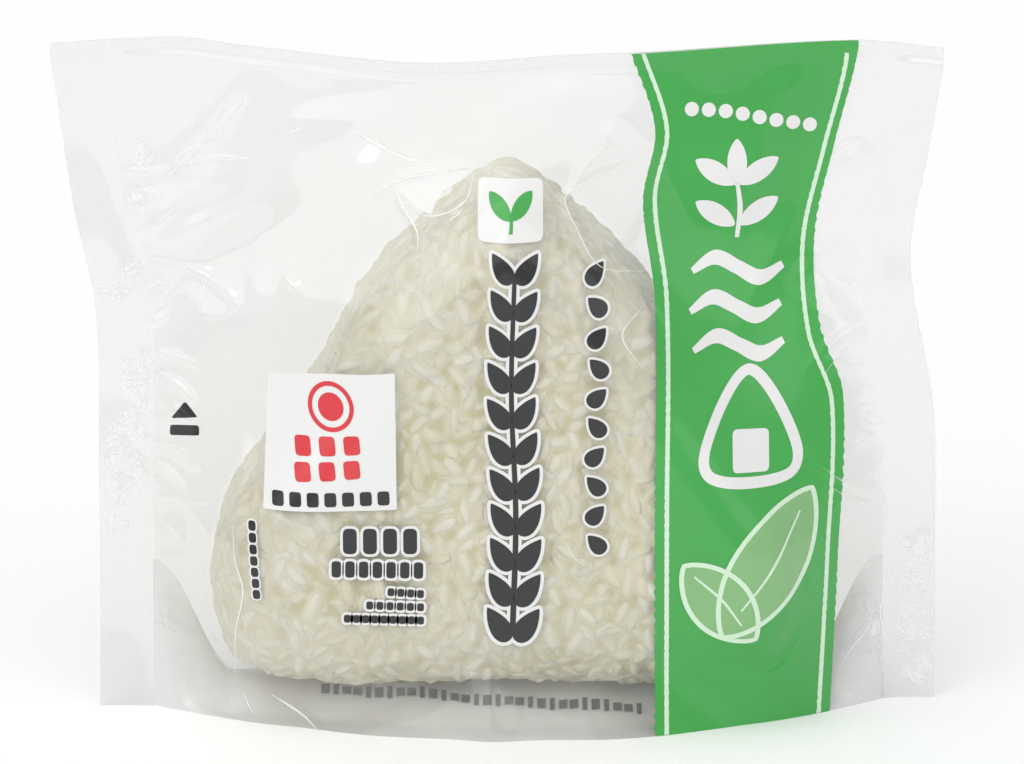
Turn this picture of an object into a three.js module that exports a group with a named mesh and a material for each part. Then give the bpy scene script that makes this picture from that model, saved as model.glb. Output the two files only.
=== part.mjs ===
// A large rice ball sealed in a clear film bag that stands on its opened base fold.
// The bag and what it holds are one closed solid: two film faces, a pressed seal up each
// side, a narrow seal along the top, and a folded base panel vaulted between two creases.
// Millimetres: X to the right, Y to the back, Z up, with the origin under the middle.
import * as THREE from "three";

// Bag
const BAG_HEIGHT = 107;
const SIDE_SEAL = 8.8;
const TOP_SEAL = 2.6;
const SEAL_THICKNESS = 0.8;
const TOP_SEAL_Y = 3;
const SEAL_FOOT_Y = { left: -6.5, right: -2.5 };
const SEAL_FOOT_BEND = 1.6;

// Outer edges of the side seals, as [height, x], and the top edge, as [x, height].
const LEFT_EDGE = [[0, -64.8], [40, -64.6], [66, -64.9], [83, -68.2], [108, -71.7]];
const RIGHT_EDGE = [[0, 71.7], [24, 71.4], [49, 70.9], [74, 66.8], [92, 69.4], [108, 71.7]];
const TOP_EDGE = [[-71.7, 107.9], [-51.5, 108.9], [-41, 107.6], [-15.5, 104.8], [-4.3, 104.8],
  [10, 105.9], [23, 106.4], [57, 108.4], [71.7, 107.1]];

// Base panel: two creases bowed out from the feet of the side seals, and the panel between.
const CREASE_Y = 25.5;
const CREASE_BOW = { front: 2, back: 3 };
const PANEL_VAULT = 5;
const PANEL_RIDGE = 21;
const RIDGE_RISE = [2, 8];
const RIDGE_FALL = [6, 14];
const PANEL_FLAT = 0.78;
const PANEL_CROWN = 0.1;
const PANEL_WALL = 0.6;
const PANEL_WALL_START = 4;

// Rice ball: a rounded triangle standing upright, with rounded rims. Its right half is
// given from apex to base, as [distance from its middle line, height].
const BALL_THICKNESS = 43;
const BALL_RIM = 13;
const BALL_X = 1.6;
const BALL_Y = 1;
const BALL_APEX = 88.3;
const BALL_BASE = 4.6;
const BALL_HALF = [[9.8, 82.4], [23.6, 68.8], [32, 54], [40.4, 42], [46.4, 33], [48.6, 21],
  [45.2, 9.6], [34.6, 5]];
const BALL_OUTLINE_STEPS = 90;
const FILM_CLEARANCE = 0.3;

// Film faces
const COLUMNS = 34;
const ROWS = 28;
const PANEL_STEPS = 10;
const SEAL_STEPS = 2;
const FILM_SAG = 0.06;
const FILM_ROOM = 1.2;
const RELAX_ROUNDS = 900;
const SMOOTH_ROUNDS = 3;

const FILM_COLOUR = 0xe3e6e1;
const FILM_ROUGHNESS = 0.14;

function clamp01(value) {
  return Math.min(1, Math.max(0, value));
}

function smoothStep(low, high, value) {
  const t = clamp01((value - low) / (high - low));
  return t * t * (3 - 2 * t);
}

function mix(a, b, t) {
  return a + (b - a) * t;
}

// A smooth curve through knots [position, value], read at any position.
function curveThrough(knots) {
  const last = knots.length - 1;
  const slope = (k) => {
    const a = knots[Math.max(0, k - 1)];
    const b = knots[Math.min(last, k + 1)];
    return (b[1] - a[1]) / (b[0] - a[0]);
  };
  return (position) => {
    const at = Math.min(Math.max(position, knots[0][0]), knots[last][0]);
    let k = 0;
    while (k < last - 1 && at > knots[k + 1][0]) {
      k += 1;
    }
    const span = knots[k + 1][0] - knots[k][0];
    const t = (at - knots[k][0]) / span;
    const rise = knots[k + 1][1] - knots[k][1];
    const bend = (1 - t) * (slope(k) * span - rise) - t * (slope(k + 1) * span - rise);
    return knots[k][1] + t * rise + t * (1 - t) * bend;
  };
}

const leftEdge = curveThrough(LEFT_EDGE);
const rightEdge = curveThrough(RIGHT_EDGE);
const topEdge = curveThrough(TOP_EDGE);

// The middle plane of the film between the seals: it bends forward towards their feet.
function middleY(across, height) {
  const foot = mix(SEAL_FOOT_Y.left, SEAL_FOOT_Y.right, across);
  return mix(TOP_SEAL_Y, foot, Math.pow(clamp01(1 - height), SEAL_FOOT_BEND));
}

function creaseY(across, side) {
  const power = side < 0 ? CREASE_BOW.front : CREASE_BOW.back;
  const bow = 1 - Math.pow(Math.abs(2 * across - 1), power);
  return mix(middleY(across, 0), side * CREASE_Y, bow);
}

// The rice ball's outline as a closed ring of points, and how far it fills out either way.
function ballOutline() {
  const right = BALL_HALF.map(([out, z]) => new THREE.Vector3(BALL_X + out, z, 0));
  const left = BALL_HALF.map(([out, z]) => new THREE.Vector3(BALL_X - out, z, 0)).reverse();
  const apex = new THREE.Vector3(BALL_X, BALL_APEX, 0);
  const base = new THREE.Vector3(BALL_X, BALL_BASE, 0);
  const ring = new THREE.CatmullRomCurve3([apex, ...right, base, ...left], true, "centripetal");
  return ring.getPoints(BALL_OUTLINE_STEPS);
}

function insideDistance(ring, x, z) {
  let nearest = Infinity;
  let inside = false;
  for (let k = 0; k < ring.length - 1; k += 1) {
    const a = ring[k];
    const b = ring[k + 1];
    const dx = b.x - a.x;
    const dz = b.y - a.y;
    const t = clamp01(((x - a.x) * dx + (z - a.y) * dz) / (dx * dx + dz * dz));
    nearest = Math.min(nearest, Math.hypot(x - a.x - t * dx, z - a.y - t * dz));
    if (a.y > z !== b.y > z && x < a.x + ((z - a.y) * dx) / dz) {
      inside = !inside;
    }
  }
  return inside ? nearest : -nearest;
}

function ballHalfDepth(ring, x, z) {
  const depth = insideDistance(ring, x, z);
  if (depth <= 0) {
    return -Infinity;
  }
  const rim = Math.max(0, BALL_RIM - depth);
  return BALL_THICKNESS / 2 - BALL_RIM + Math.sqrt(BALL_RIM * BALL_RIM - rim * rim);
}

// One film face: pinned to the creases and seals, sagging a little towards the other face
// between them, but held off the rice ball and off the middle plane.
function filmFace(ring, side) {
  const face = [];
  for (let i = 0; i <= COLUMNS; i += 1) {
    const across = i / COLUMNS;
    const column = [];
    for (let j = 0; j <= ROWS; j += 1) {
      const up = j / ROWS;
      const height = up * BAG_HEIGHT;
      const x = mix(leftEdge(height) + SIDE_SEAL, rightEdge(height) - SIDE_SEAL, across);
      const z = up * (topEdge(x) - TOP_SEAL);
      const middle = middleY(across, up);
      const crease = creaseY(across, side);
      const y = mix(crease, middle + (side * SEAL_THICKNESS) / 2, up);
      const overBall = BALL_Y * side + ballHalfDepth(ring, x, z) + FILM_CLEARANCE;
      const room = SEAL_THICKNESS / 2 + FILM_ROOM * Math.sin(Math.PI * across);
      column.push({ x, y, z, middle, least: Math.max(overBall, middle * side + room) });
    }
    face.push(column);
  }
  for (let j = 0; j <= ROWS; j += 1) {
    for (const i of [0, COLUMNS]) {
      face[i][j].y = face[i][j].middle + (side * SEAL_THICKNESS) / 2;
    }
  }
  for (let round = 0; round < RELAX_ROUNDS + SMOOTH_ROUNDS; round += 1) {
    const held = round < RELAX_ROUNDS;
    for (let i = 1; i < COLUMNS; i += 1) {
      for (let j = 1; j < ROWS; j += 1) {
        const sides = face[i - 1][j].y + face[i + 1][j].y;
        const ends = face[i][j - 1].y + face[i][j + 1].y;
        const pulled = (sides + ends) / 4 - side * FILM_SAG;
        const least = held ? face[i][j].least : -Infinity;
        face[i][j].y = side * Math.max(side * pulled, least);
      }
    }
  }
  return face;
}

// A face with its side seals and top seal added round it, as columns of points.
function sealedFace(face, side) {
  const offset = (side * SEAL_THICKNESS) / 2;
  const columns = [];
  const sealColumn = (edge, inward, step, across) => {
    const points = [];
    for (let j = 0; j <= ROWS; j += 1) {
      const up = j / ROWS;
      const x = edge(up * BAG_HEIGHT) + inward * SIDE_SEAL * (step / SEAL_STEPS);
      points.push(new THREE.Vector3(x, middleY(across, up) + offset, up * (topEdge(x) - TOP_SEAL)));
    }
    return points;
  };
  for (let s = 0; s < SEAL_STEPS; s += 1) {
    columns.push(sealColumn(leftEdge, 1, s, 0));
  }
  for (const column of face) {
    columns.push(column.map((p) => new THREE.Vector3(p.x, p.y, p.z)));
  }
  for (let s = SEAL_STEPS - 1; s >= 0; s -= 1) {
    columns.push(sealColumn(rightEdge, -1, s, 1));
  }
  for (const column of columns) {
    const rim = column[ROWS];
    column.push(new THREE.Vector3(rim.x, TOP_SEAL_Y + offset, topEdge(rim.x)));
  }
  return columns;
}

function faceYAt(column, z) {
  let j = 0;
  while (j < ROWS - 1 && z > column[j + 1].z) {
    j += 1;
  }
  const t = (z - column[j].z) / (column[j + 1].z - column[j].z);
  return mix(column[j].y, column[j + 1].y, t);
}

// The base panel between the creases: flat beside them, vaulted under the rice ball, and
// drawn up into a ridge towards the foot of each side seal, between the two film faces.
function panelColumn(front, back, fromSeal) {
  const ridge = smoothStep(...RIDGE_RISE, fromSeal) * (1 - smoothStep(...RIDGE_FALL, fromSeal));
  const height = mix(PANEL_VAULT, PANEL_RIDGE, ridge);
  const points = [front[0]];
  for (let k = 1; k < PANEL_STEPS; k += 1) {
    const t = k / PANEL_STEPS;
    const out = Math.abs(2 * t - 1);
    const vault = 1 - smoothStep(PANEL_CROWN, PANEL_FLAT, out);
    const z = height * mix(vault, 1 - out, ridge);
    const wall = PANEL_WALL * clamp01(z / PANEL_WALL_START);
    const nearest = faceYAt(front, z) + wall;
    const farthest = faceYAt(back, z) - wall;
    const y = Math.min(Math.max(mix(front[0].y, back[0].y, t), nearest), farthest);
    points.push(new THREE.Vector3(mix(front[0].x, back[0].x, t), y, z));
  }
  points.push(back[0]);
  return points;
}

function triangles() {
  const soup = [];
  return {
    soup,
    tri(a, b, c) {
      soup.push(a.x, a.y, a.z, b.x, b.y, b.z, c.x, c.y, c.z);
    },
    quad(a, b, c, d) {
      this.tri(a, b, c);
      this.tri(a, c, d);
    },
  };
}

function addFaces(mesh, front, back) {
  const top = ROWS + 1;
  const end = front.length - 1;
  for (let i = 0; i < end; i += 1) {
    for (let j = 0; j < top; j += 1) {
      mesh.quad(front[i][j], front[i + 1][j], front[i + 1][j + 1], front[i][j + 1]);
      mesh.quad(back[i + 1][j], back[i][j], back[i][j + 1], back[i + 1][j + 1]);
    }
    mesh.quad(front[i][top], front[i + 1][top], back[i + 1][top], back[i][top]);
  }
  for (let j = 0; j < top; j += 1) {
    mesh.quad(back[0][j], front[0][j], front[0][j + 1], back[0][j + 1]);
    mesh.quad(front[end][j], back[end][j], back[end][j + 1], front[end][j + 1]);
  }
}

// The underside: the thin feet of the seals, and the base panel stitched between them.
function addUnderside(mesh, front, back) {
  const first = SEAL_STEPS;
  const last = SEAL_STEPS + COLUMNS;
  for (let s = 0; s < SEAL_STEPS; s += 1) {
    for (const i of [s, last + s]) {
      mesh.quad(front[i][0], back[i][0], back[i + 1][0], front[i + 1][0]);
    }
  }
  const panel = [];
  for (let i = first + 1; i < last; i += 1) {
    const fromSeal = Math.min(front[i][0].x - front[first][0].x, front[last][0].x - front[i][0].x);
    panel.push(panelColumn(front[i], back[i], fromSeal));
  }
  for (let i = 0; i < panel.length - 1; i += 1) {
    for (let k = 0; k < PANEL_STEPS; k += 1) {
      mesh.quad(panel[i][k], panel[i][k + 1], panel[i + 1][k + 1], panel[i + 1][k]);
    }
  }
  const half = PANEL_STEPS / 2;
  const near = panel[0];
  const far = panel[panel.length - 1];
  for (let k = 0; k < PANEL_STEPS; k += 1) {
    const side = k < half ? front : back;
    mesh.tri(side[first][0], near[k + 1], near[k]);
    mesh.tri(side[last][0], far[k], far[k + 1]);
  }
  mesh.tri(front[first][0], back[first][0], near[half]);
  mesh.tri(back[last][0], front[last][0], far[half]);
}

function filmBag() {
  const ring = ballOutline();
  const front = sealedFace(filmFace(ring, -1), -1);
  const back = sealedFace(filmFace(ring, 1), 1);
  const mesh = triangles();
  addFaces(mesh, front, back);
  addUnderside(mesh, front, back);
  const geometry = new THREE.BufferGeometry();
  geometry.setAttribute("position", new THREE.Float32BufferAttribute(mesh.soup, 3));
  geometry.computeVertexNormals();
  const film = new THREE.MeshStandardMaterial({
    color: FILM_COLOUR,
    roughness: FILM_ROUGHNESS,
    metalness: 0,
  });
  const bag = new THREE.Mesh(geometry, film);
  bag.name = "film_bag";
  return bag;
}

const riceBallBag = new THREE.Group();
riceBallBag.add(filmBag());

export default riceBallBag;
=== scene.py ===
# %% [markdown]
# # A rice ball in a clear bag
#
# The object is a large white rice ball, sealed in a clear film bag that stands on its opened
# base fold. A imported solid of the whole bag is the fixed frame. This lesson dresses it: clear
# film with its folds and seals, the print on the film, and the rice inside.
#
# Everything is modelled in millimetres and turned into metres when a mesh is made.

import math

import bmesh
import bpy
import numpy as np
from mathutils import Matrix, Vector, noise


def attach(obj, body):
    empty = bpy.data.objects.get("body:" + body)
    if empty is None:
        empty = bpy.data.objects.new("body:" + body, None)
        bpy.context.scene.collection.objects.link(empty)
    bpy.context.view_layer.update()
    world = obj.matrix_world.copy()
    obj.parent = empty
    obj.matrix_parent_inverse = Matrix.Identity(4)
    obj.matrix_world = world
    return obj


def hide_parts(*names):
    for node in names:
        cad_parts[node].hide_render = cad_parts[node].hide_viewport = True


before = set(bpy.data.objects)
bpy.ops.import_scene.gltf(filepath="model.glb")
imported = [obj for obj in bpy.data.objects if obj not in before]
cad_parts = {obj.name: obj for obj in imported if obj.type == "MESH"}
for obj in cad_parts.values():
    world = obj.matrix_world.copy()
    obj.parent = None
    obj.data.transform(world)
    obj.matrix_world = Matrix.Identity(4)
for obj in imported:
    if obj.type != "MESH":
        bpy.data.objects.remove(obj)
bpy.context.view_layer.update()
MM = 0.001

# %% [markdown]
# ## Camera
#
# The bag was seen from the front and a little above, from far enough away to look almost flat.
# The camera comes first, so that every later step can be looked at.

# %% Camera
VIEW_ELEVATION = math.radians(14.0)
VIEW_DISTANCE = 850.0
VIEW_TARGET = (2.4, 3.0, 52.0)
VIEW_LENS = 183.8


def new_object(name, data):
    made = bpy.data.objects.new(name, data)
    bpy.context.collection.objects.link(made)
    return made


def add_camera():
    back = Vector((0, -math.cos(VIEW_ELEVATION), math.sin(VIEW_ELEVATION)))
    lens = bpy.data.cameras.new("camera")
    lens.lens = VIEW_LENS
    lens.sensor_width = 36
    lens.clip_start = 0.01
    camera = new_object("camera", lens)
    camera.location = (Vector(VIEW_TARGET) + back * VIEW_DISTANCE) * MM
    camera.rotation_euler = (-back).to_track_quat("-Z", "Y").to_euler()
    bpy.context.scene.camera = camera
    return camera


camera = add_camera()
print("camera at", [round(c, 3) for c in camera.location])

# %% [markdown]
# ## Node tools
#
# Materials and Geometry Nodes trees are both graphs of nodes. These helpers add a node and fill
# in its inputs: an output of another node is linked, and anything else becomes the input's value.

# %% Node tools
def set_inputs(tree, node, inputs):
    for key, value in inputs.items():
        if isinstance(value, bpy.types.NodeSocket):
            tree.links.new(value, node.inputs[key])
        else:
            node.inputs[key].default_value = value


def add_node(tree, kind, inputs=None, **settings):
    node = tree.nodes.new(kind)
    for name, value in settings.items():
        setattr(node, name, value)
    set_inputs(tree, node, inputs or {})
    return node


def add_math(tree, operation, *values, **settings):
    inputs = dict(enumerate(values))
    node = add_node(tree, "ShaderNodeMath", inputs, operation=operation, **settings)
    return node.outputs["Value"]


def new_material(name):
    material = bpy.data.materials.new(name)
    material.use_nodes = True
    return material, material.node_tree


# %% [markdown]
# ## Floor and light
#
# A plain pale floor and soft studio light. Clear film shows itself only by what it mirrors, so
# the world is a soft grey, brighter overhead. The lamps are suns seen under a wide angle, which
# light like broad panels. The narrowest is there for the glints in the folds.

# %% Floor
FLOOR_SIZE = 12000.0
FLOOR_FINISH = {"Base Color": (0.97, 0.97, 0.97, 1), "Roughness": 0.7, "Specular IOR Level": 0.1}


def add_floor():
    half = FLOOR_SIZE / 2 * MM
    mesh = bpy.data.meshes.new("floor")
    corners = [(-half, -half, 0), (half, -half, 0), (half, half, 0), (-half, half, 0)]
    mesh.from_pydata(corners, [], [(0, 1, 2, 3)])
    material, tree = new_material("pale_floor")
    set_inputs(tree, tree.nodes["Principled BSDF"], FLOOR_FINISH)
    mesh.materials.append(material)
    floor = new_object("floor", mesh)


add_floor()
print("floor", FLOOR_SIZE * MM, "m wide")

# %% Lamps and world
WORLD_LOW, WORLD_HIGH = 0.34, 0.58
GLOW_LOW, GLOW_HIGH = -0.1, 0.9
LAMPS = {
    "key_light": ((-0.38, -0.6, 0.95), 85, 1.4),
    "side_light": ((0.75, -0.62, 0.6), 40, 0.3),
    "back_light": ((-0.35, 0.55, 1.3), 50, 0.3),
    "glint_light": ((-0.5, -0.75, 0.62), 12, 0.18),
}


def add_lamp(name, toward, spread, strength):
    lamp = bpy.data.lights.new(name, "SUN")
    lamp.angle = math.radians(spread)
    lamp.energy = strength
    holder = new_object(name, lamp)
    holder.rotation_euler = Vector(toward).to_track_quat("Z", "Y").to_euler()


def studio_world():
    world = bpy.data.worlds.new("studio")
    world.use_nodes = True
    tree = world.node_tree
    toward = add_node(tree, "ShaderNodeTexCoord")
    parts = add_node(tree, "ShaderNodeSeparateXYZ", {"Vector": toward.outputs["Generated"]})
    glow = add_node(tree, "ShaderNodeMapRange", {
        "Value": parts.outputs["Z"], "From Min": GLOW_LOW, "From Max": GLOW_HIGH,
        "To Min": WORLD_LOW, "To Max": WORLD_HIGH})
    set_inputs(tree, tree.nodes["Background"], {
        "Color": (1, 1, 1, 1), "Strength": glow.outputs["Result"]})
    return world


bpy.context.scene.world = studio_world()
bpy.context.scene.view_settings.view_transform = "Standard"
for name, (toward, spread, strength) in LAMPS.items():
    add_lamp(name, toward, spread, strength)
print("lamps", list(LAMPS))

# %% [markdown]
# ## The bag's guides
#
# A film bag is two flat sheets sealed together, so its shape is set by where its edges are
# held. These guides are the edges: the outer edge of each side seal by height, the top edge
# from left to right, and the bowed creases of the base. A smooth curve runs through each.

# %% Guide sizes
BAG_HEIGHT = 107.0
SIDE_SEAL = 8.8
TOP_SEAL = 2.6
SEAL_GAP = 0.24
TOP_SEAL_Y = 3.0
SEAL_FOOT_Y = (-6.5, -2.5)
SEAL_FOOT_BEND = 1.6
LEFT_EDGE = [(0, -64.8), (40, -64.6), (66, -64.9), (83, -68.2), (108, -71.7)]
RIGHT_EDGE = [(0, 71.7), (24, 71.4), (49, 70.9), (74, 66.8), (92, 69.4), (108, 71.7)]
TOP_EDGE = [(-71.7, 107.9), (-51.5, 108.9), (-41, 107.6), (-15.5, 104.8), (-4.3, 104.8),
            (10, 105.9), (23, 106.4), (57, 108.4), (71.7, 107.1)]
CREASE_Y = 25.5
CREASE_BOW = {-1: 2.0, 1: 3.0}
FRONT, BACK = -1, 1


def mix(a, b, t):
    return a + (b - a) * t


def smooth_step(low, high, value):
    t = np.clip((value - low) / (high - low), 0, 1)
    return t * t * (3 - 2 * t)


def curve_through(knots):
    at, value = np.array(knots, float).T
    last = len(at) - 1
    before = np.maximum(np.arange(last + 1) - 1, 0)
    after = np.minimum(np.arange(last + 1) + 1, last)
    slope = (value[after] - value[before]) / (at[after] - at[before])

    def read(position):
        p = np.clip(position, at[0], at[-1])
        k = np.clip(np.searchsorted(at, p, side="right") - 1, 0, last - 1)
        span = at[k + 1] - at[k]
        t = (p - at[k]) / span
        rise = value[k + 1] - value[k]
        bend = (1 - t) * (slope[k] * span - rise) - t * (slope[k + 1] * span - rise)
        return value[k] + t * rise + t * (1 - t) * bend

    return read


left_edge = curve_through(LEFT_EDGE)
right_edge = curve_through(RIGHT_EDGE)
top_edge = curve_through(TOP_EDGE)


def middle_y(across, up):
    foot = mix(SEAL_FOOT_Y[0], SEAL_FOOT_Y[1], across)
    return mix(TOP_SEAL_Y, foot, np.clip(1 - up, 0, 1) ** SEAL_FOOT_BEND)


def crease_y(across, side):
    bow = 1 - np.abs(2 * across - 1) ** CREASE_BOW[side]
    return mix(middle_y(across, 0.0), side * CREASE_Y, bow)


print("top edge in the middle", round(float(top_edge(0)), 1), "mm")

# %% [markdown]
# ## The rice ball's form
#
# Machine-pressed rice is a rounded triangle with rounded rims. Its outline is a closed curve
# through a few corners, and its half thickness falls off in a quarter circle towards the rim.
# The film needs this form too, because it lies on the rice.

# %% Rice ball form
BALL_THICKNESS = 43.0
BALL_RIM = 13.0
BALL_X = 1.6
BALL_Y = 1.0
BALL_APEX = 88.3
BALL_BASE = 4.6
BALL_HALF = [(9.8, 82.4), (23.6, 68.8), (32, 54), (40.4, 42), (46.4, 33), (48.6, 21),
             (45.2, 9.6), (34.6, 5)]
OUTLINE_STEPS = 6


def smooth_ring(corners, steps):
    p1 = np.array(corners, float)
    p0, p2, p3 = np.roll(p1, 1, 0), np.roll(p1, -1, 0), np.roll(p1, -2, 0)
    d0 = np.sqrt(np.linalg.norm(p1 - p0, axis=1))[:, None]
    d1 = np.roll(d0, -1, 0)
    d2 = np.roll(d0, -2, 0)
    m1 = ((p1 - p0) / d0 - (p2 - p0) / (d0 + d1) + (p2 - p1) / d1) * d1
    m2 = ((p2 - p1) / d1 - (p3 - p1) / (d1 + d2) + (p3 - p2) / d2) * d1
    t = np.linspace(0, 1, steps, endpoint=False)[None, :, None]
    a, b, c, d = p1[:, None], p2[:, None], m1[:, None], m2[:, None]
    ring = (2 * a - 2 * b + c + d) * t ** 3 + (3 * b - 3 * a - 2 * c - d) * t ** 2 + c * t + a
    return ring.reshape(-1, p1.shape[1])


def ball_outline(steps):
    right = [(BALL_X + out, z) for out, z in BALL_HALF]
    left = [(BALL_X - out, z) for out, z in reversed(BALL_HALF)]
    return smooth_ring([(BALL_X, BALL_APEX), *right, (BALL_X, BALL_BASE), *left], steps)


def inside_distance(ring, x, z):
    nearest = np.full(x.shape, np.inf)
    inside = np.zeros(x.shape, bool)
    for (ax, az), (bx, bz) in zip(ring, np.roll(ring, -1, 0)):
        dx, dz = bx - ax, bz - az
        t = np.clip(((x - ax) * dx + (z - az) * dz) / (dx * dx + dz * dz), 0, 1)
        nearest = np.minimum(nearest, np.hypot(x - ax - t * dx, z - az - t * dz))
        if dz:
            inside ^= ((az > z) != (bz > z)) & (x < ax + (z - az) * dx / dz)
    return np.where(inside, nearest, -nearest)


def ball_half_depth(ring, x, z):
    depth = inside_distance(ring, x, z)
    rim = np.clip(BALL_RIM - depth, 0, BALL_RIM)
    half = BALL_THICKNESS / 2 - BALL_RIM + np.sqrt(BALL_RIM ** 2 - rim ** 2)
    return np.where(depth > 0, half, -np.inf)


outline = ball_outline(OUTLINE_STEPS)
print("rice ball", np.ptp(outline, axis=0).round(1), "mm wide and high")

# %% [markdown]
# ## Taut film
#
# Between its edges a thin film pulls itself as flat as it can, and rests on whatever is in the
# way. That is a soap film with an obstacle: each point moves to the mean of its neighbours,
# again and again, sagging a little inwards, but never into the rice or the other film.
# Starting on a coarse grid and doubling it is quick.

# %% Taut film
FILM_COLUMNS, FILM_ROWS = 36, 30
FILM_CLEARANCE = 0.3
FILM_SAG = 0.06
FILM_ROOM = 1.2
COARSE_ROUNDS, FINE_ROUNDS = 900, 260
FAR_GAP = 30.0


def face_grid(columns, rows):
    across, up = np.meshgrid(np.linspace(0, 1, columns + 1), np.linspace(0, 1, rows + 1), indexing="ij")
    height = up * BAG_HEIGHT
    x = mix(left_edge(height) + SIDE_SEAL, right_edge(height) - SIDE_SEAL, across)
    return across, up, x, up * (top_edge(x) - TOP_SEAL)


def doubled(y):
    finer = np.empty((2 * y.shape[0] - 1, 2 * y.shape[1] - 1))
    finer[::2, ::2] = y
    finer[1::2, ::2] = (y[1:] + y[:-1]) / 2
    finer[:, 1::2] = (finer[:, 2::2] + finer[:, :-2:2]) / 2
    return finer


def taut_face(side, doublings):
    ring = ball_outline(OUTLINE_STEPS)
    y = None
    for level in range(doublings + 1):
        across, up, x, z = face_grid(FILM_COLUMNS * 2 ** level, FILM_ROWS * 2 ** level)
        middle = middle_y(across, up) + side * SEAL_GAP / 2
        crease = crease_y(across, side)
        y = mix(crease, middle, up) if level == 0 else doubled(y)
        y[0], y[-1] = middle[0], middle[-1]
        y[:, 0], y[:, -1] = crease[:, 0], middle[:, -1]
        room = SEAL_GAP / 2 + FILM_ROOM * np.sin(np.pi * across)
        over_ball = side * BALL_Y + ball_half_depth(ring, x, z) + FILM_CLEARANCE
        least = np.maximum(over_ball, side * middle_y(across, up) + room)
        sag = side * FILM_SAG / 4 ** level
        for _ in range(FINE_ROUNDS if level else COARSE_ROUNDS):
            pulled = (y[:-2, 1:-1] + y[2:, 1:-1] + y[1:-1, :-2] + y[1:-1, 2:]) / 4 - sag
            y[1:-1, 1:-1] = side * np.maximum(side * pulled, least[1:-1, 1:-1])
    gap = side * y - over_ball
    gap = np.clip(np.where(np.isfinite(gap), gap, FAR_GAP), 0, FAR_GAP)
    inside = inside_distance(ring, x, z)
    return {"x": x, "y": y, "z": z, "least": least, "gap": gap, "inside": inside, "side": side,
            "across": across, "up": up}


front = taut_face(FRONT, 3)
back = taut_face(BACK, 2)
print("front film grid", front["y"].shape, "reaches", round(float(front["y"].min()), 1), "mm")

# %% [markdown]
# ## Folds in the film
#
# Thin clear film can bend but not stretch, so wherever it is pushed it breaks into sharp
# folds. Each fold here is a ridge along a short smooth path on the face, with a crest about a
# third of a millimetre across, fading at both ends. A second kind, a kink, tilts the film to
# either side of a line and makes the broad flat facets of slack film.

# %% Fold tools
CREST = 0.16
RIDGE_STEPS, RIDGE_REACH = 18, 5


def smooth_path(points, steps):
    points = np.array(points, float)
    if len(points) < 3:
        return mix(points[0], points[-1], np.linspace(0, 1, steps)[:, None])
    along = np.concatenate([[0], np.cumsum(np.linalg.norm(np.diff(points, axis=0), axis=1))])
    at = np.linspace(0, along[-1], steps)
    columns = [curve_through(list(zip(along, points[:, c])))(at) for c in range(points.shape[1])]
    return np.stack(columns, axis=1)


def distance_to_path(path, x, z):
    nearest = np.full(x.shape, np.inf)
    place = np.zeros(x.shape)
    last = len(path) - 1
    for k in range(last):
        (ax, az), (bx, bz) = path[k], path[k + 1]
        dx, dz = bx - ax, bz - az
        t = np.clip(((x - ax) * dx + (z - az) * dz) / (dx * dx + dz * dz + 1e-12), 0, 1)
        away = np.hypot(x - ax - t * dx, z - az - t * dz)
        closer = away < nearest
        nearest = np.where(closer, away, nearest)
        place = np.where(closer, (k + t) / last, place)
    return nearest, place


def add_ridge(face, points, height, width):
    path = smooth_path(points, RIDGE_STEPS)
    reach = RIDGE_REACH * width
    low, high = path.min(0) - reach, path.max(0) + reach
    near = (face["x"] > low[0]) & (face["x"] < high[0]) & (face["z"] > low[1]) & (face["z"] < high[1])
    away, place = distance_to_path(path, face["x"][near], face["z"][near])
    fade = np.sin(np.pi * np.clip(place, 0.02, 0.98)) ** 0.6
    rise = height * fade * np.exp(-(np.sqrt(away ** 2 + CREST ** 2) - CREST) / width)
    face["y"][near] += face["side"] * rise


def add_kink(face, centre, angle, slope, reach):
    dx, dz = face["x"] - centre[0], face["z"] - centre[1]
    along = dx * math.cos(angle) + dz * math.sin(angle)
    across = dz * math.cos(angle) - dx * math.sin(angle)
    fade = np.exp(-(across / reach) ** 2 - (along / (1.6 * reach)) ** 2)
    face["y"] += face["side"] * face["free"] * slope * (np.sqrt(across ** 2 + 0.2) - 0.4 * reach) * fade


for face in (front, back):
    face["free"] = smooth_step(0.2, 4.0, face["gap"]) * smooth_step(0, 0.05, 1 - face["up"])
print("share of the front that hangs free", round(float((front["free"] > 0.5).mean()), 2))
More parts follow.
